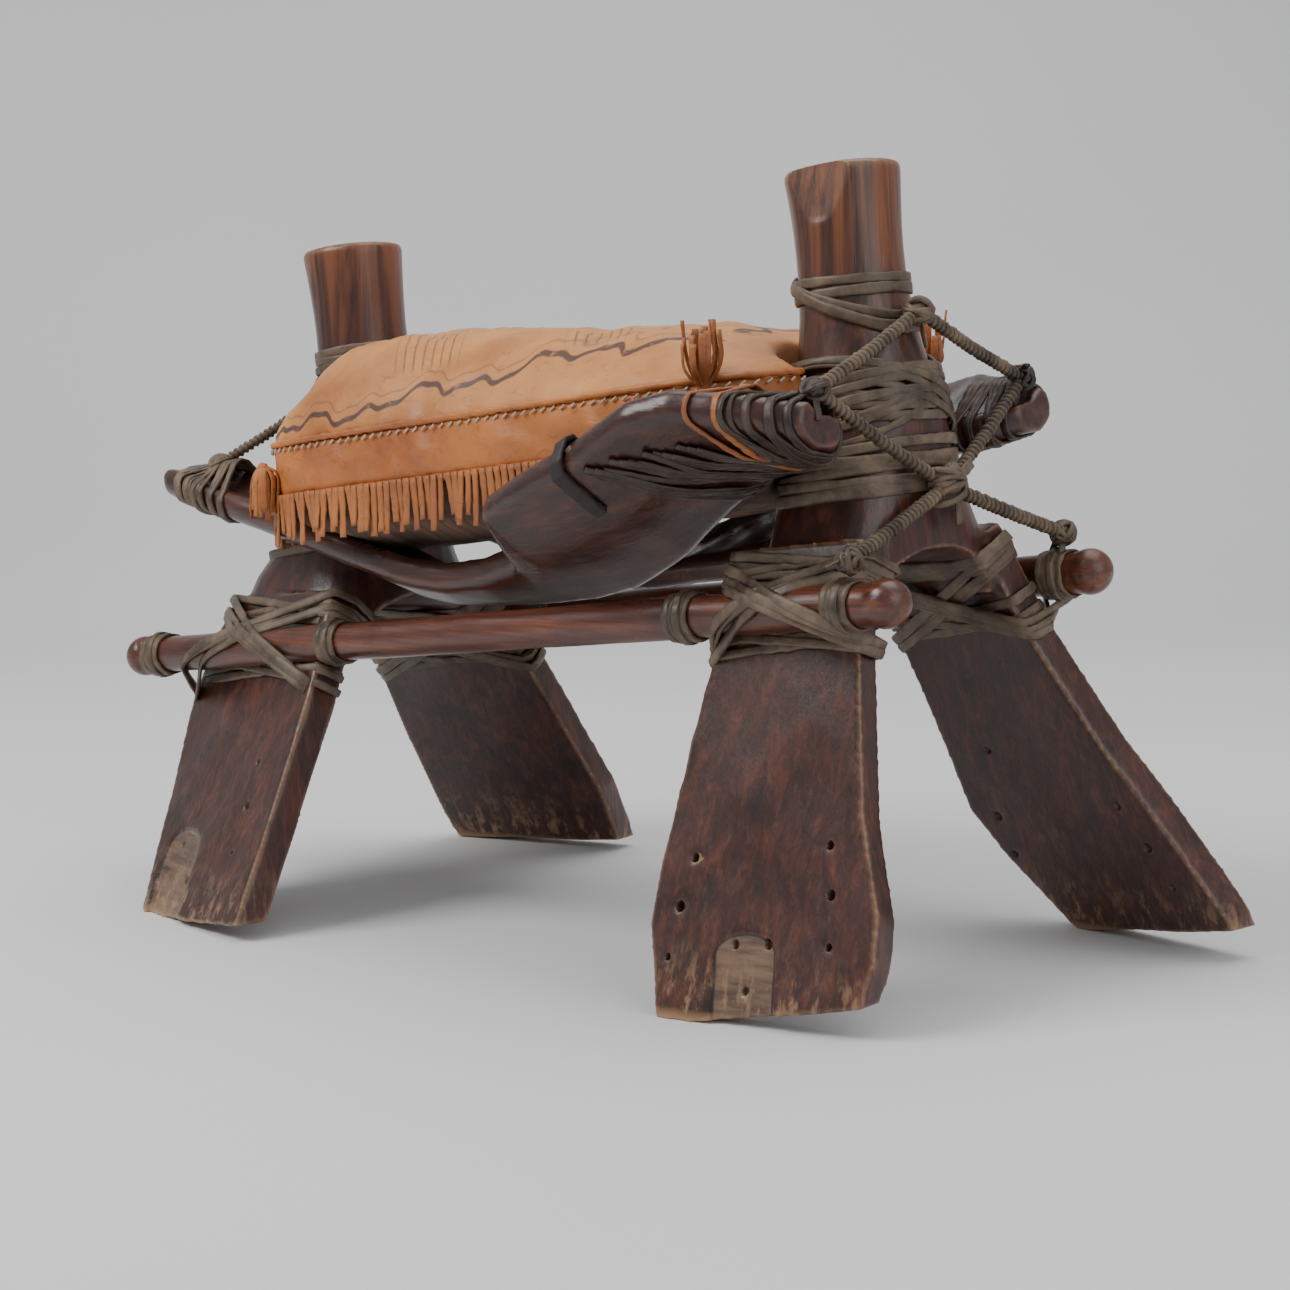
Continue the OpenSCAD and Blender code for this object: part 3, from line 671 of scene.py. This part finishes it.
def hull_ray(hull, angle):
    """Distance from the origin to a convex outline along an angle."""
    dx, dy = cos(angle), sin(angle)
    best = 0.0
    for (ax, ay), (bx, by) in zip(hull, hull[1:] + hull[:1]):
        ex, ey = bx - ax, by - ay
        det = dx * ey - dy * ex
        if abs(det) < 1e-12:
            continue
        t = (ax * ey - ay * ex) / det
        s = (ax * dy - ay * dx) / det
        if t > 0 and -1e-6 <= s <= 1 + 1e-6:
            best = max(best, t)
    return best


def outward(centre):
    c = Vector(centre)
    return lambda point, along: (point - c)


def wrap(parts, wood, centre, normal, width, thick, count=72, worn=0.06, seed=1, lift=0.2, start=0.16):
    loop = shrink_loop(wood, centre, normal, thick * 0.5 + lift, count, start)
    parts.band(loop, width, thick, outward(centre), None, True, worn, seed)


def lay(wood, points, height, count=30):
    """A line pressed onto a carved piece, height above it in mm."""
    out = []
    for p in spline(points, count):
        near, normal, _, _ = wood.find_nearest(p)
        out.append(near + normal * height * MM)
    for _ in range(2):
        out = [out[0]] + [(a + b * 2 + c) / 4 for a, b, c in zip(out, out[1:], out[2:])] + [out[-1]]
    return out


def off(wood):
    """The direction straight off a carved piece."""
    def facing(point, along):
        near, normal, _, _ = wood.find_nearest(point)
        return normal
    return facing


# ---- lashings ----


def thong(node, material, slot, voxel=1.0, rounds=3, wobble=0.45):
    """A strap softened from its solid, with the uneven edge of cut hide."""
    def shape(co):
        push = np.zeros_like(co)
        push[:, 0] = lumps(co, 0.011, 21, 6) * 0.35 * MM
        push[:, 2] = lumps(co + 0.5, 0.016, 22, 6) * 0.45 * MM
        return co + push
    return carve(node, "thong_" + node, material, slot, voxel, rounds, wobble, shape)


NECK_TIE, WAIST_TIE = at(314, 0, 352), at(321.5, 0, 252)
TAIL_TIES = {s: at(312, 98 * s, 311) for s in (NEAR, FAR)}
RAIL_TIES = {NEAR: at(324, -RAIL_Y, 217.7), FAR: at(330, RAIL_Y, 217.7)}
REAR_NECK_TIE = at(-203, 0, 362)
REAR_TAIL_TIES = {s: at(-236, 70 * s, 320.5) for s in (NEAR, FAR)}
STAY_R = 3.9


def sag(a, b, depth):
    """Five points of a taut cord with a little give, depth in mm."""
    mid = (a + b) / 2 - UP * (depth * MM)
    return [a, a.lerp(mid, 0.55), mid, b.lerp(mid, 0.55), b]


def stay(name, node, a, b, radius=STAY_R, depth=1.5):
    parts = Parts()
    parts.wrapped(sag(a, b, depth), radius)
    return parts.build(name, RAWHIDE, "rawhide", FRAME_BODY, node, worn=0.2)


for side, word in SIDES:
    stay(f"{word}_neck_stay", f"{word}_front_neck_stay", NECK_TIE, TAIL_TIES[side])
    stay(f"{word}_cross_stay", f"{word}_front_cross_stay", TAIL_TIES[side], WAIST_TIE)
    stay(f"{word}_rail_stay", f"{word}_front_rail_stay", WAIST_TIE, RAIL_TIES[side], 4.2, 0.5)
    stay(f"{word}_rear_stay", f"{word}_rear_neck_stay", REAR_NECK_TIE, REAR_TAIL_TIES[side], 3.8)

# Turns of thong round the legs, rails and boards. Each turn lies a little askew of the last.


def tilted(along, lean_axis, degrees):
    return (Matrix.Rotation(radians(degrees), 3, lean_axis) @ along).normalized()


def turns(parts, wood, centre, along, lean_axis, plan, width, thick, seed, start=0.16):
    """plan lists (offset along in mm, tilt in degrees, extra lift in mm) for each turn."""
    rng = np.random.default_rng(seed)
    for k, (offset, tilt, lift) in enumerate(plan):
        normal = tilted(along, lean_axis, tilt + rng.uniform(-1.5, 1.5))
        w = width * rng.uniform(0.85, 1.1)
        wrap(parts, wood, centre + along * offset * MM, normal, w, thick, 84, 0.05, seed * 10 + k,
             lift, start)


def tie(parts, centre, size, seed):
    """A small hard knot of thong round a core."""
    rng = np.random.default_rng(seed)
    centre = Vector(centre)
    parts.lump(centre, (size * 0.8, size * 0.8, size * 0.8), seed)
    for k in range(6):
        axis = Vector(rng.normal(size=3)).normalized()
        u = axis.orthogonal().normalized()
        v = axis.cross(u)
        r = size * rng.uniform(0.78, 1.0) * MM
        loop = [centre + (u * cos(t) + v * sin(t)) * r for t in (2 * pi * j / 24 for j in range(24))]
        parts.tube(loop, 1.7, 6, closed=True)
    for k in range(2):
        way = (Vector(rng.normal(size=3)) - UP).normalized()
        end = centre + way * (size + 9) * MM - UP * 4 * MM
        parts.band([centre, centre + way * size * MM, end], 4.2, 1.6,
                   lambda q, t: UP + Vector((0.1, 0.2, 0)), 10)


FORWARD = (at(1, 0, 0) - at(0, 0, 0)).normalized()
LEG_TURNS = [(-24, 4, 0), (-19, -3, 0.5), (-14, 7, 1.2), (-21, -7, 1.8),
             (17, -4, 0), (22, 3, 0.4), (26, -8, 1.0)]
CROSSING = [(-5, 27, 0.4), (-1, 24, 1.4), (4, 29, 2.2), (-4, -26, 3.0), (0, -24, 3.8), (5, -30, 4.4)]
LEG_REACH = 0.086            # far enough to clear one leg, short of the other, m
RAIL_RINGS = {("front", NEAR): (206, 320), ("front", FAR): (201, 326),
              ("rear", NEAR): (-286, -100), ("rear", FAR): (-286, -100)}

for (end, side), spec in PLANKS.items():
    plank = plank_at(*spec)
    word = "near" if side == NEAR else "far"
    parts = Parts()
    wood = tree(f"{end}{side}", FORKS[end], rails[side])
    leg_x = FRONT_LEG_X if end == "front" else REAR_LEG_X
    middle = at(leg_x, side * 84, RAIL_Z)
    down = (at(*(plank @ Vector((0, 0, 60)))) - at(*(plank @ Vector((0, 0, 0))))).normalized()
    turns(parts, tree(end, FORKS[end]), at(leg_x, side * 78, RAIL_Z), down, FORWARD.cross(UP), LEG_TURNS,
          6.2, 2.4, 3 + side, LEG_REACH)
    turns(parts, wood, middle, down, FORWARD.cross(UP), CROSSING, 6.4, 2.5, 20 + side, LEG_REACH)
    for k, x in enumerate(RAIL_RINGS[(end, side)]):
        rail_tree = tree(f"rail{side}", rails[side])
        plan = [(-8, 3, 0), (-3, -2, 0), (2, 2, 0), (7, -4, 0), (-1, 10, 1.4)]
        turns(parts, rail_tree, at(x, side * RAIL_Y, RAIL_Z), FORWARD, UP, plan, 5.0, 2.2, 40 + k)
    if end == "front":
        tie(parts, RAIL_TIES[side], 7.0, 60 + side)
    parts.build(f"{word}_{end}_rail_thongs", RAWHIDE, "rawhide", FRAME_BODY, f"{word}_{end}_rail_lashing")

BOARD_TURNS = {"front": (296, 96, 301, [(-16, 5, 0), (-11, -4, 0), (-6, 3, 0.4), (-1, -5, 0), (4, 4, 0),
                                        (9, -6, 0.6), (13, 3, 0), (0, 14, 1.6), (-4, -15, 2.2)]),
               "rear": (-238, 70, 311, [(k * 6.0 - 24, (-1) ** k * 5, 0.3 * (k % 3)) for k in range(9)]
                        + [(-8, 16, 1.8), (6, -16, 2.2)])}
for side, word in SIDES:
    for end, (x, y, z, plan) in BOARD_TURNS.items():
        parts = Parts()
        turns(parts, tree(f"board{side}", boards[side]), at(x, side * y, z), FORWARD, UP, plan, 5.2, 2.2,
              70 + side)
        tie(parts, (TAIL_TIES if end == "front" else REAR_TAIL_TIES)[side], 7.5, 80 + side)
        parts.build(f"{word}_{end}_board_thongs", DARK_HIDE_AND_SHADE if end == "front" else RAWHIDE, "rawhide",
                    FRAME_BODY, f"{word}_{end}_board_lashing")

waist = Parts()
middle = at(270, 0, 262)
turns(waist, front_tree, middle, UP, FORWARD.cross(UP), [(-9, 2, 0), (-3, -1, 0.2), (3, 3, 0), (9, -2, 0.3),
                                                        (14, 5, 0.8)], 7.4, 2.6, 90)
lacing = [(38, 22, 0.4), (44, 18, 1.2), (50, 24, 1.8), (40, -20, 2.6), (47, -24, 3.2), (53, -18, 3.8)]
flatter = [(offset, tilt * 0.4, lift) for offset, tilt, lift in lacing]
turns(waist, front_tree, middle, UP, Vector((0, 1, 0)), flatter, 5.6, 2.3, 91)
turns(waist, front_tree, middle, UP, FORWARD, lacing, 5.6, 2.3, 92)
waist.build("front_waist_thongs", RAWHIDE, "rawhide", FRAME_BODY, "front_waist_strap")

waist = Parts()
turns(waist, rear_tree, at(-172, 0, 266), UP, FORWARD.cross(UP),
      [(-9, 2, 0), (-3, -2, 0.2), (3, 3, 0), (9, -3, 0)], 7.0, 2.6, 93)
waist.build("rear_waist_thongs", RAWHIDE, "rawhide", FRAME_BODY, "rear_waist_strap")

neck = Parts()
middle = at(FRONT_X, 0, NECK_Z)
turns(neck, front_tree, middle, UP, Vector((0, 1, 0)),
      [(-4, 0, 0), (3.5, 1.5, 0), (-6, 22, 1.2), (-9, 26, 2.0)], 6.4, 2.4, 94)
tie(neck, NECK_TIE, 8.0, 95)
neck.build("front_neck_thongs", RAWHIDE, "rawhide", FRAME_BODY, "front_neck_strap")

neck = Parts()
middle = at(REAR_X, 0, 380)
turns(neck, rear_tree, middle, UP, Vector((0, 1, 0)), [(-4, -2, 0), (1, 2, 0), (6, -3, 0), (-9, -14, 1.2),
                                                      (-12, -20, 1.8)], 5.8, 2.4, 96)
tie(neck, REAR_NECK_TIE, 8.0, 97)
neck.build("rear_neck_thongs", RAWHIDE, "rawhide", FRAME_BODY, "rear_neck_strap")

# The net of thongs that draws each tail of the front boards to the fork, in the darker hide as painted
# shade: these thongs lie in shadow.
for side, word in SIDES:
    net = Parts()
    rng = np.random.default_rng(50 + side)
    shell = tree(f"net{side}", front_fork, boards[side])
    for k in range(15):
        start = at(180 + k * 5, side * (150 - k * 1.5), 292 - (k % 4) * 4)
        end = at(240 + k * 4 + rng.uniform(-5, 5), side * rng.uniform(56, 74), 256 + (k * 7) % 40)
        pts = lay(shell, [start, start.lerp(end, 0.5) - UP * 9 * MM, end], 1.0 + 0.4 * (k % 3), 26)
        net.band(pts, 4.6, 1.9, off(shell), None, False, 0.05, k)
    net.build(f"{word}_thong_net", DARK_HIDE_AND_SHADE, "rawhide", FRAME_BODY)

# The knot where the front stays meet, with the loose ends that come out of it.
knot = Parts()
knot.lump(WAIST_TIE + UP * 2 * MM, (9.5, 12, 10), 5)
knot.lump(WAIST_TIE + Vector((1, 3, 7)) * MM, (7, 8, 7), 6)
for turn in range(4):
    loop = [WAIST_TIE + Vector((cos(a) * 8.5, sin(a) * 11, sin(a + turn) * 4 - 6 + turn * 4)) * MM
            for a in (2 * pi * k / 28 for k in range(28))]
    knot.tube(loop, 1.9, 7, closed=True)
for y, drop, reach in ((16, -2, 4), (22, 12, 2), (9, -22, 3)):
    tail = [WAIST_TIE + UP * 3 * MM, WAIST_TIE + Vector((reach, y * 0.6, drop * 0.4 + 3)) * MM,
            WAIST_TIE + Vector((reach * 0.5, y, drop)) * MM]
    knot.band(tail, 6.5, 1.8, lambda p, t: Vector((1, 0, 0.3)), 14)
knot.build("front_tie_knot", RAWHIDE, "rawhide", FRAME_BODY, "front_knot")

thong("near_slot_strap", BLACK_STRAP, "black_strap", 0.9, 2, 0.3)

# ---- cushion ----


def cushion_ray(angle):
    """Outline of the cushion, level mm, along a ray from its middle, cut back at the pommels."""
    dx, dy = cos(angle), sin(angle)
    reach = ((abs(dx) / HALF_X) ** SQUARE + (abs(dy) / CUSHION_HALF) ** SQUARE) ** (-1 / SQUARE)
    for px in (REAR_X, FRONT_X):
        cx = px - MID_X
        along = cx * dx
        inside = POMMEL_ROOM ** 2 - (cx * dy) ** 2
        if along > 0 and inside > 0:
            reach = min(reach, along - inside ** 0.5)
    return MID_X + reach * dx, reach * dy


def cushion_line(z, grow=0.0, count=720):
    """Closed line round the cushion at a level height, evenly spaced."""
    ring = []
    for i in range(count):
        x, y = cushion_ray(2 * pi * i / count)
        ring.append(Vector((x, y, z)))
    total = sum((b - a).length for a, b in zip(ring, ring[1:] + ring[:1]))
    step = total / count
    out, carry = [], 0.0
    for a, b in zip(ring, ring[1:] + ring[:1]):
        span = (b - a).length
        while carry < span:
            out.append(a.lerp(b, carry / span))
            carry += step
        carry -= span
    smooth = out
    for _ in range(3):
        smooth = [(smooth[i - 1] + smooth[i] * 2 + smooth[(i + 1) % len(smooth)]) / 4
                  for i in range(len(smooth))]
    if grow:
        moved = []
        for i, p in enumerate(smooth):
            t = smooth[(i + 1) % len(smooth)] - smooth[i - 1]
            n = Vector((t.y, -t.x, 0)).normalized()
            moved.append(p + n * grow)
        smooth = moved
    return smooth


def leather(name, tan, brown, painted=False):
    n = Nodes(name)
    cloud = n.noise(n.place(), 14.0, 6.0, 0.6)
    pebble = n.noise(n.place((650, 650, 650)), 1.0, 3.0, 0.55)
    crease = n.noise(n.place((70, 70, 130)), 1.0, 5.0, 0.65, 1.2)
    colour = n.ramp(cloud, [(0.30, brown), (0.50, tuple((a * 0.6 + b * 0.4) for a, b in zip(tan, brown))),
                            (0.68, tan)])
    colour = n.mix(n.span(crease, 0.56, 0.70, 0.0, 0.5), colour, tuple(c * 0.55 for c in brown))
    height_map = n.math("ADD", n.math("MULTIPLY", crease, 0.8), n.math("MULTIPLY", pebble, 0.25))
    rough = n.span(cloud, 0.3, 0.7, 0.42, 0.58)
    if painted:
        border = n.span(n.math("ABSOLUTE", n.attribute("border")), 2.3, 1.3)
        ragged = n.span(n.noise(n.place((120, 120, 120)), 1.0, 5.0, 0.7), 0.30, 0.44)
        border = n.math("MULTIPLY", border, ragged)
        thin = n.span(n.math("ABSOLUTE", n.math("SUBTRACT", n.attribute("border"), 7.5)), 1.0, 0.5)
        colour = n.mix(n.math("MULTIPLY", border, 0.88), colour, (0.030, 0.014, 0.022))
        colour = n.mix(n.math("MULTIPLY", thin, 0.4), colour, (0.10, 0.035, 0.03))
        wave = n.math("FRACT", n.attribute("cuts"))
        cut = n.span(n.math("ABSOLUTE", n.math("SUBTRACT", wave, 0.5)), 0.13, 0.05)
        cut = n.math("MULTIPLY", cut, n.attribute("cut_room"))
        colour = n.mix(n.math("MULTIPLY", cut, 0.6), colour, (0.09, 0.04, 0.022))
        height_map = n.math("SUBTRACT", height_map, n.math("MULTIPLY", cut, 1.2))
        # Lighter towards the crown of the cushion, following height above the seam and stronger where the
        # crease noise is higher.
        paler = n.span(n.attribute("crown"), 0.45, 0.95, 0.0, 0.35)
        colour = n.mix(n.math("MULTIPLY", paler, n.span(crease, 0.4, 0.6)), colour, (0.62, 0.33, 0.13))
    normal = n.bump(height_map, 0.6, 0.9 * MM)
    return n.finish(colour, rough, normal)


def plaid(name):
    n = Nodes(name)
    tex = n.tree.nodes.new("ShaderNodeTexCoord")
    split = n.node("ShaderNodeSeparateXYZ", Vector=tex.outputs["Object"])
    weave = n.noise(n.place((900, 900, 900)), 1.0, 2.0)
    colour = (0.105, 0.060, 0.040)
    for axis, pitch, shade in (("X", 32.0, (0.20, 0.12, 0.075)), ("Y", 30.0, (0.045, 0.022, 0.022)),
                               ("Z", 40.0, (0.17, 0.085, 0.05)), ("X", 11.0, (0.05, 0.026, 0.022))):
        band = n.math("FRACT", n.math("MULTIPLY", split.outputs[axis], 1000 / pitch))
        colour = n.mix(n.math("MULTIPLY", n.span(n.math("ABSOLUTE", n.math("SUBTRACT", band, 0.5)),
                                                 0.16, 0.12), 0.5), colour, shade)
    normal = n.bump(weave, 0.5, 0.5 * MM)
    return n.finish(colour, 0.9, normal)


TOP_LEATHER = leather("top_leather", (0.66, 0.285, 0.082), (0.40, 0.130, 0.030), True)
BAND_LEATHER = leather("band_leather", (0.60, 0.205, 0.045), (0.30, 0.080, 0.020))
SUEDE = leather("suede", (0.50, 0.175, 0.045), (0.20, 0.058, 0.020))
BASE_CLOTH = plaid("base_cloth")
THREAD = rawhide("thread", (0.62, 0.54, 0.42), (0.36, 0.29, 0.2), 0.7)


def round_way(lv):
    """How far round the cushion a point is, mm, and how near its rim, 0 in the middle to 1."""
    u, v = (lv[:, 0] - MID_X) / HALF_X, lv[:, 1] / CUSHION_HALF
    rim = (np.abs(u) ** SQUARE + np.abs(v) ** SQUARE) ** (1 / SQUARE)
    side = np.where(np.abs(v) > np.abs(u), lv[:, 0], CORNER_WAY + np.abs(lv[:, 1]))
    return side, rim


def soft_top(co):
    """Puckers at the seam, the hollows where people sat, and slack creases between."""
    lv = to_level(co)
    way, rim = round_way(lv)
    up = lv[:, 2] - SEAM_Z
    near_seam = np.exp(-np.clip(up, 0, None) / 13.0) * np.clip((up + 2) / 5, 0, 1)
    pucker = (np.sin(way / 6.1 + 1.7 * np.sin(way / 37.0)) + 0.6 * np.sin(way / 3.7 + lv[:, 1] / 9)) * 1.3
    crown = np.clip(up / 45, 0, 1)
    slack = lumps(co * (1.0, 1.6, 1.0), 0.060, 31) * 1.6 + lumps(co * (1.0, 2.4, 1.0), 0.026, 32) * 0.6
    grow = near_seam * pucker * np.clip((rim - 0.6) * 4, 0, 1)
    lv[:, 1] += np.sign(lv[:, 1]) * grow
    lv[:, 2] += crown * slack
    lv[:, 2] -= crown * 70 * np.clip(rim - 0.52, 0, 1) ** 2
    lv[:, 2] -= crown * 3.0 * np.exp(-((lv[:, 0] - 55) / 70) ** 2 - (lv[:, 1] / 60) ** 2)
    for x in (-105, 20, 165):
        trough = (lv[:, 0] + lv[:, 1] * 0.75 + 85 - x) / 17
        lv[:, 2] -= crown * 4.5 * np.exp(-trough ** 2) * np.clip((np.abs(lv[:, 1]) - 20) / 30, 0, 1)
    lv[:, 2] -= 5.0 * np.exp(-((lv[:, 0] - 70) / 110) ** 2) * np.clip((rim - 0.75) * 4, 0, 1)
    return level_array(lv)


def cushion_piece(node, name, material, slot, voxel, rounds, wobble, shape):
    obj = carve(node, name, material, slot, voxel, rounds, wobble, shape)
    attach(obj, CUSHION_BODY)
    return obj


def soft_band(co):
    lv = to_level(co)
    way, rim = round_way(lv)
    mid = np.clip(1 - np.abs(lv[:, 2] - (SEAM_Z - BAND_H / 2)) / (BAND_H / 2), 0, 1)
    fold = np.sin(way / 5.2 + 2.2 * np.sin(way / 29.0) + lv[:, 2] / 11) * 1.5
    fold += np.sin(way / 11.0 + lv[:, 2] / 7) * 1.2
    out = (np.sqrt(mid) * 3.0 + fold * mid) * np.clip((rim - 0.8) * 8, 0, 1)
    lv[:, 1] += np.sign(lv[:, 1]) * np.where(np.abs(lv[:, 1]) > 60, out, 0)
    return level_array(lv)


def soft_base(co):
    lv = to_level(co)
    lv[:, 2] += lumps(co, 0.07, 41) * 2.0
    return level_array(lv)


leather_top = cushion_piece("cushion_top", "leather_top", TOP_LEATHER, "cushion_leather", 2.6, 22, 0.5,
                            soft_top)
leather_band = cushion_piece("cushion_band", "leather_band", BAND_LEATHER, "cushion_leather", 2.4, 8, 0.5,
                             soft_band)
base_cloth = cushion_piece("cushion_base", "base_cloth", BASE_CLOTH, "base_cloth", 3.0, 12, 0.8, soft_base)
lv_top = to_level(coords(leather_top))
way_top, _ = round_way(lv_top)
write_field(leather_top, "border", lv_top[:, 2] - SEAM_Z - 5 - (lv_top[:, 0] - CUSHION_REAR) * 0.075
            - 3.2 * np.sin(way_top / 7.5) - 3.4 * np.sin(way_top / 17.0 + 1) - 1.2 * np.sin(way_top / 3.1))
write_field(leather_top, "crown", np.clip((lv_top[:, 2] - SEAM_Z) / 62, 0, 1))
write_field(leather_top, "cuts", (lv_top[:, 0] * 0.8 + lv_top[:, 1] * 0.6) / 6.5)
room = np.zeros(len(lv_top))
for x, wide in ((20, 30), (165, 28), (-110, 24)):
    room = np.maximum(room, np.clip((wide - np.abs(lv_top[:, 0] + lv_top[:, 1] * 0.75 + 85 - x)) / 4, 0, 1))
room *= np.clip((lv_top[:, 2] - SEAM_Z - 32) / 5, 0, 1) * np.clip((np.abs(lv_top[:, 1]) - 38) / 6, 0, 1)
write_field(leather_top, "cut_room", room)


def cushion_points(line):
    return [at(*p) for p in line]


# The welts of the two seams and the thread that closes the upper one.
welt = Parts()
welt.tube(cushion_points(cushion_line(SEAM_Z + 1, 0.5)), 2.1, 8, closed=True)
welt.tube(cushion_points(cushion_line(SEAM_Z - BAND_H, 0.8)), 2.3, 8, closed=True)
welt.build("cushion_welts", BAND_LEATHER, "cushion_leather", CUSHION_BODY, worn=0.5)

stitches = Parts()
path = cushion_line(SEAM_Z - 3.5, 2.0, 1500)
for i in range(0, len(path) - 5, 9):
    a, b = path[i], path[i + 4]
    if abs(a.y) > 52:
        stitches.tube([at(a.x, a.y, a.z - 0.8), at(b.x, b.y, b.z + 1.4)], 0.75, 6, 4)
stitches.build("seam_stitches", THREAD, "cushion_leather", CUSHION_BODY, worn=0.05)

# Cut fringe on the lower seam, from the rear corners to where the boards flare out. Each strip
# has its own hang.
fringe = Parts()
fringe_front = to_level(np.array(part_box("cushion_fringe")))[1, 0]
rng = np.random.default_rng(8)
path = cushion_line(SEAM_Z - BAND_H, 2.6, 1500)
total = sum((b - a).length for a, b in zip(path, path[1:]))
step = max(1, round(6.2 / (total / len(path))))
for i in range(0, len(path) - step, step):
    p = path[i]
    if p.x > fringe_front - 6 or abs(p.y) < 70:
        continue
    t = (path[(i + 3) % len(path)] - path[i - 3]).normalized()
    n = Vector((t.y, -t.x, 0)).normalized()
    drop = 29 + rng.uniform(-7, 4)
    lean, curl = rng.uniform(-5, 5), rng.uniform(-0.5, 5.0)
    pts = [at(*(p + n * 0.5 + Vector((0, 0, 2)))),
           at(*(p + t * lean * 0.4 + n * curl * 0.4 - Vector((0, 0, drop * 0.4)))),
           at(*(p + t * lean + n * curl - Vector((0, 0, drop))))]
    face = Vector((n.x, n.y, 0.1))
    fringe.band(pts, 5.6 + rng.uniform(-1.2, 0.8), 1.6, lambda q, s, f=face: f, 10, False, 0.05, i)
fringe.build("suede_fringe", SUEDE, "suede", CUSHION_BODY, "cushion_fringe", worn=0.3)

# ---- tassels ----
for word in ("near_rear", "far_rear", "near_front", "far_front"):
    node = f"{word}_tassel"
    lo, hi = (Vector(v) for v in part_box(node))
    mid, size = (lo + hi) / 2, (hi - lo)
    tassel = Parts()
    upright = "front" in word
    tassel.lump(Vector((mid.x, mid.y, lo.z + 6 * MM if upright else hi.z - 12 * MM)), (4.5, 4.5, 5), 9)
    rng = np.random.default_rng(len(word))
    for k in range(15):
        a = 2 * pi * k / 15 + rng.uniform(-0.2, 0.2)
        way = Vector((cos(a), sin(a), 0))
        spread = rng.uniform(0.30, 0.62)
        foot = Vector((mid.x + way.x * size.x * spread, mid.y + way.y * size.y * spread,
                       lo.z + rng.uniform(0, 9) * MM))
        if upright:
            foot = Vector((mid.x + way.x * size.x * spread * 1.3, mid.y + way.y * size.y * spread * 1.3,
                           hi.z - rng.uniform(0, 20) * MM))
        top = Vector((mid.x, mid.y, lo.z + 4 * MM if upright else hi.z - 10 * MM)) + way * 2 * MM
        knee = top.lerp(foot, 0.35) + way * rng.uniform(2, 6) * MM + Vector((0, 0, 3 * MM))
        tassel.band([top, knee, foot], 4.2, 1.3, lambda q, s, v=way: v + Vector((0, 0, 0.1)), 12,
                    False, 0.08, k)
    tassel.build(f"{word}_suede_tassel", SUEDE, "suede", CUSHION_BODY, node)
strip = Parts()
turns(strip, tree(f"board{NEAR}", boards[NEAR]), at(274, -104, 308), FORWARD, UP,
      [(0, 4, 0.2), (-5, -8, 0.8)], 4.4, 1.8, 98)
strip.build("near_orange_strip", SUEDE, "suede", FRAME_BODY, "near_tie_strip")

# ---- stage, light and camera ----

YAW, PITCH, ROLL = radians(42.6), radians(6.7), radians(-1.7)


def studio():
    m = Nodes("pale_stage")
    cloud = m.noise(m.place(), 1.2, 2.0)
    colour = m.ramp(cloud, [(0.3, (0.73, 0.735, 0.745)), (0.7, (0.77, 0.775, 0.785))])
    material = m.finish(colour, 0.85)
    look = Vector((-sin(YAW), cos(YAW), 0))
    side = Vector((cos(YAW), sin(YAW), 0))
    profile = [(-6.0, 0.0), (1.5, 0.0)]
    profile += [(1.5 + 1.2 * sin(radians(a)), 1.2 - 1.2 * cos(radians(a))) for a in range(5, 91, 5)]
    profile += [(2.7, 6.0)]
    verts = []
    for s in (-6.0, 6.0):
        verts += [look * d + side * s + Vector((0, 0, h)) for d, h in profile]
    n = len(profile)
    faces = [(i, i + 1, n + i + 1, n + i) for i in range(n - 1)]
    floor = new_object("stage", verts, faces)
    floor.data.materials.append(material)


studio()


LIT_POINT = (0, 0, 0.22)     # the middle of the saddle


def softbox(name, place, size, watts, colour=(1, 1, 1)):
    lamp = bpy.data.lights.new(name, "AREA")
    lamp.shape = "RECTANGLE"
    lamp.size, lamp.size_y = size
    lamp.energy = watts
    lamp.color = colour
    obj = bpy.data.objects.new(name, lamp)
    bpy.context.scene.collection.objects.link(obj)
    obj.location = place
    obj.rotation_euler = (Vector(LIT_POINT) - Vector(place)).to_track_quat("-Z", "Y").to_euler()


softbox("key", (-0.9, -1.5, 2.0), (1.3, 1.0), 40, (1.0, 0.985, 0.96))
softbox("fill", (2.1, -0.3, 1.1), (1.6, 1.6), 13, (0.96, 0.98, 1.0))
softbox("top", (0.1, 0.5, 2.4), (2.2, 1.6), 26)
world = bpy.data.worlds.new("room")
bpy.context.scene.world = world
world.use_nodes = True
world.node_tree.nodes["Background"].inputs[0].default_value = (0.80, 0.80, 0.80, 1.0)
world.node_tree.nodes["Background"].inputs[1].default_value = 0.62

lens = bpy.data.cameras.new("camera")
lens.lens, lens.sensor_width = 72.9, 36
lens.dof.use_dof = False
camera = bpy.data.objects.new("camera", lens)
bpy.context.scene.collection.objects.link(camera)
fwd = Vector((-sin(YAW) * cos(PITCH), cos(YAW) * cos(PITCH), -sin(PITCH)))
right = Vector((cos(YAW), sin(YAW), 0))
up = right.cross(fwd)
cam_x = right * cos(ROLL) + up * sin(ROLL)
cam_y = up * cos(ROLL) - right * sin(ROLL)
turn = Matrix((cam_x, cam_y, -fwd)).transposed().to_4x4()
camera.matrix_world = Matrix.Translation((1.1283, -1.2005, 0.3717)) @ turn
bpy.context.scene.camera = camera
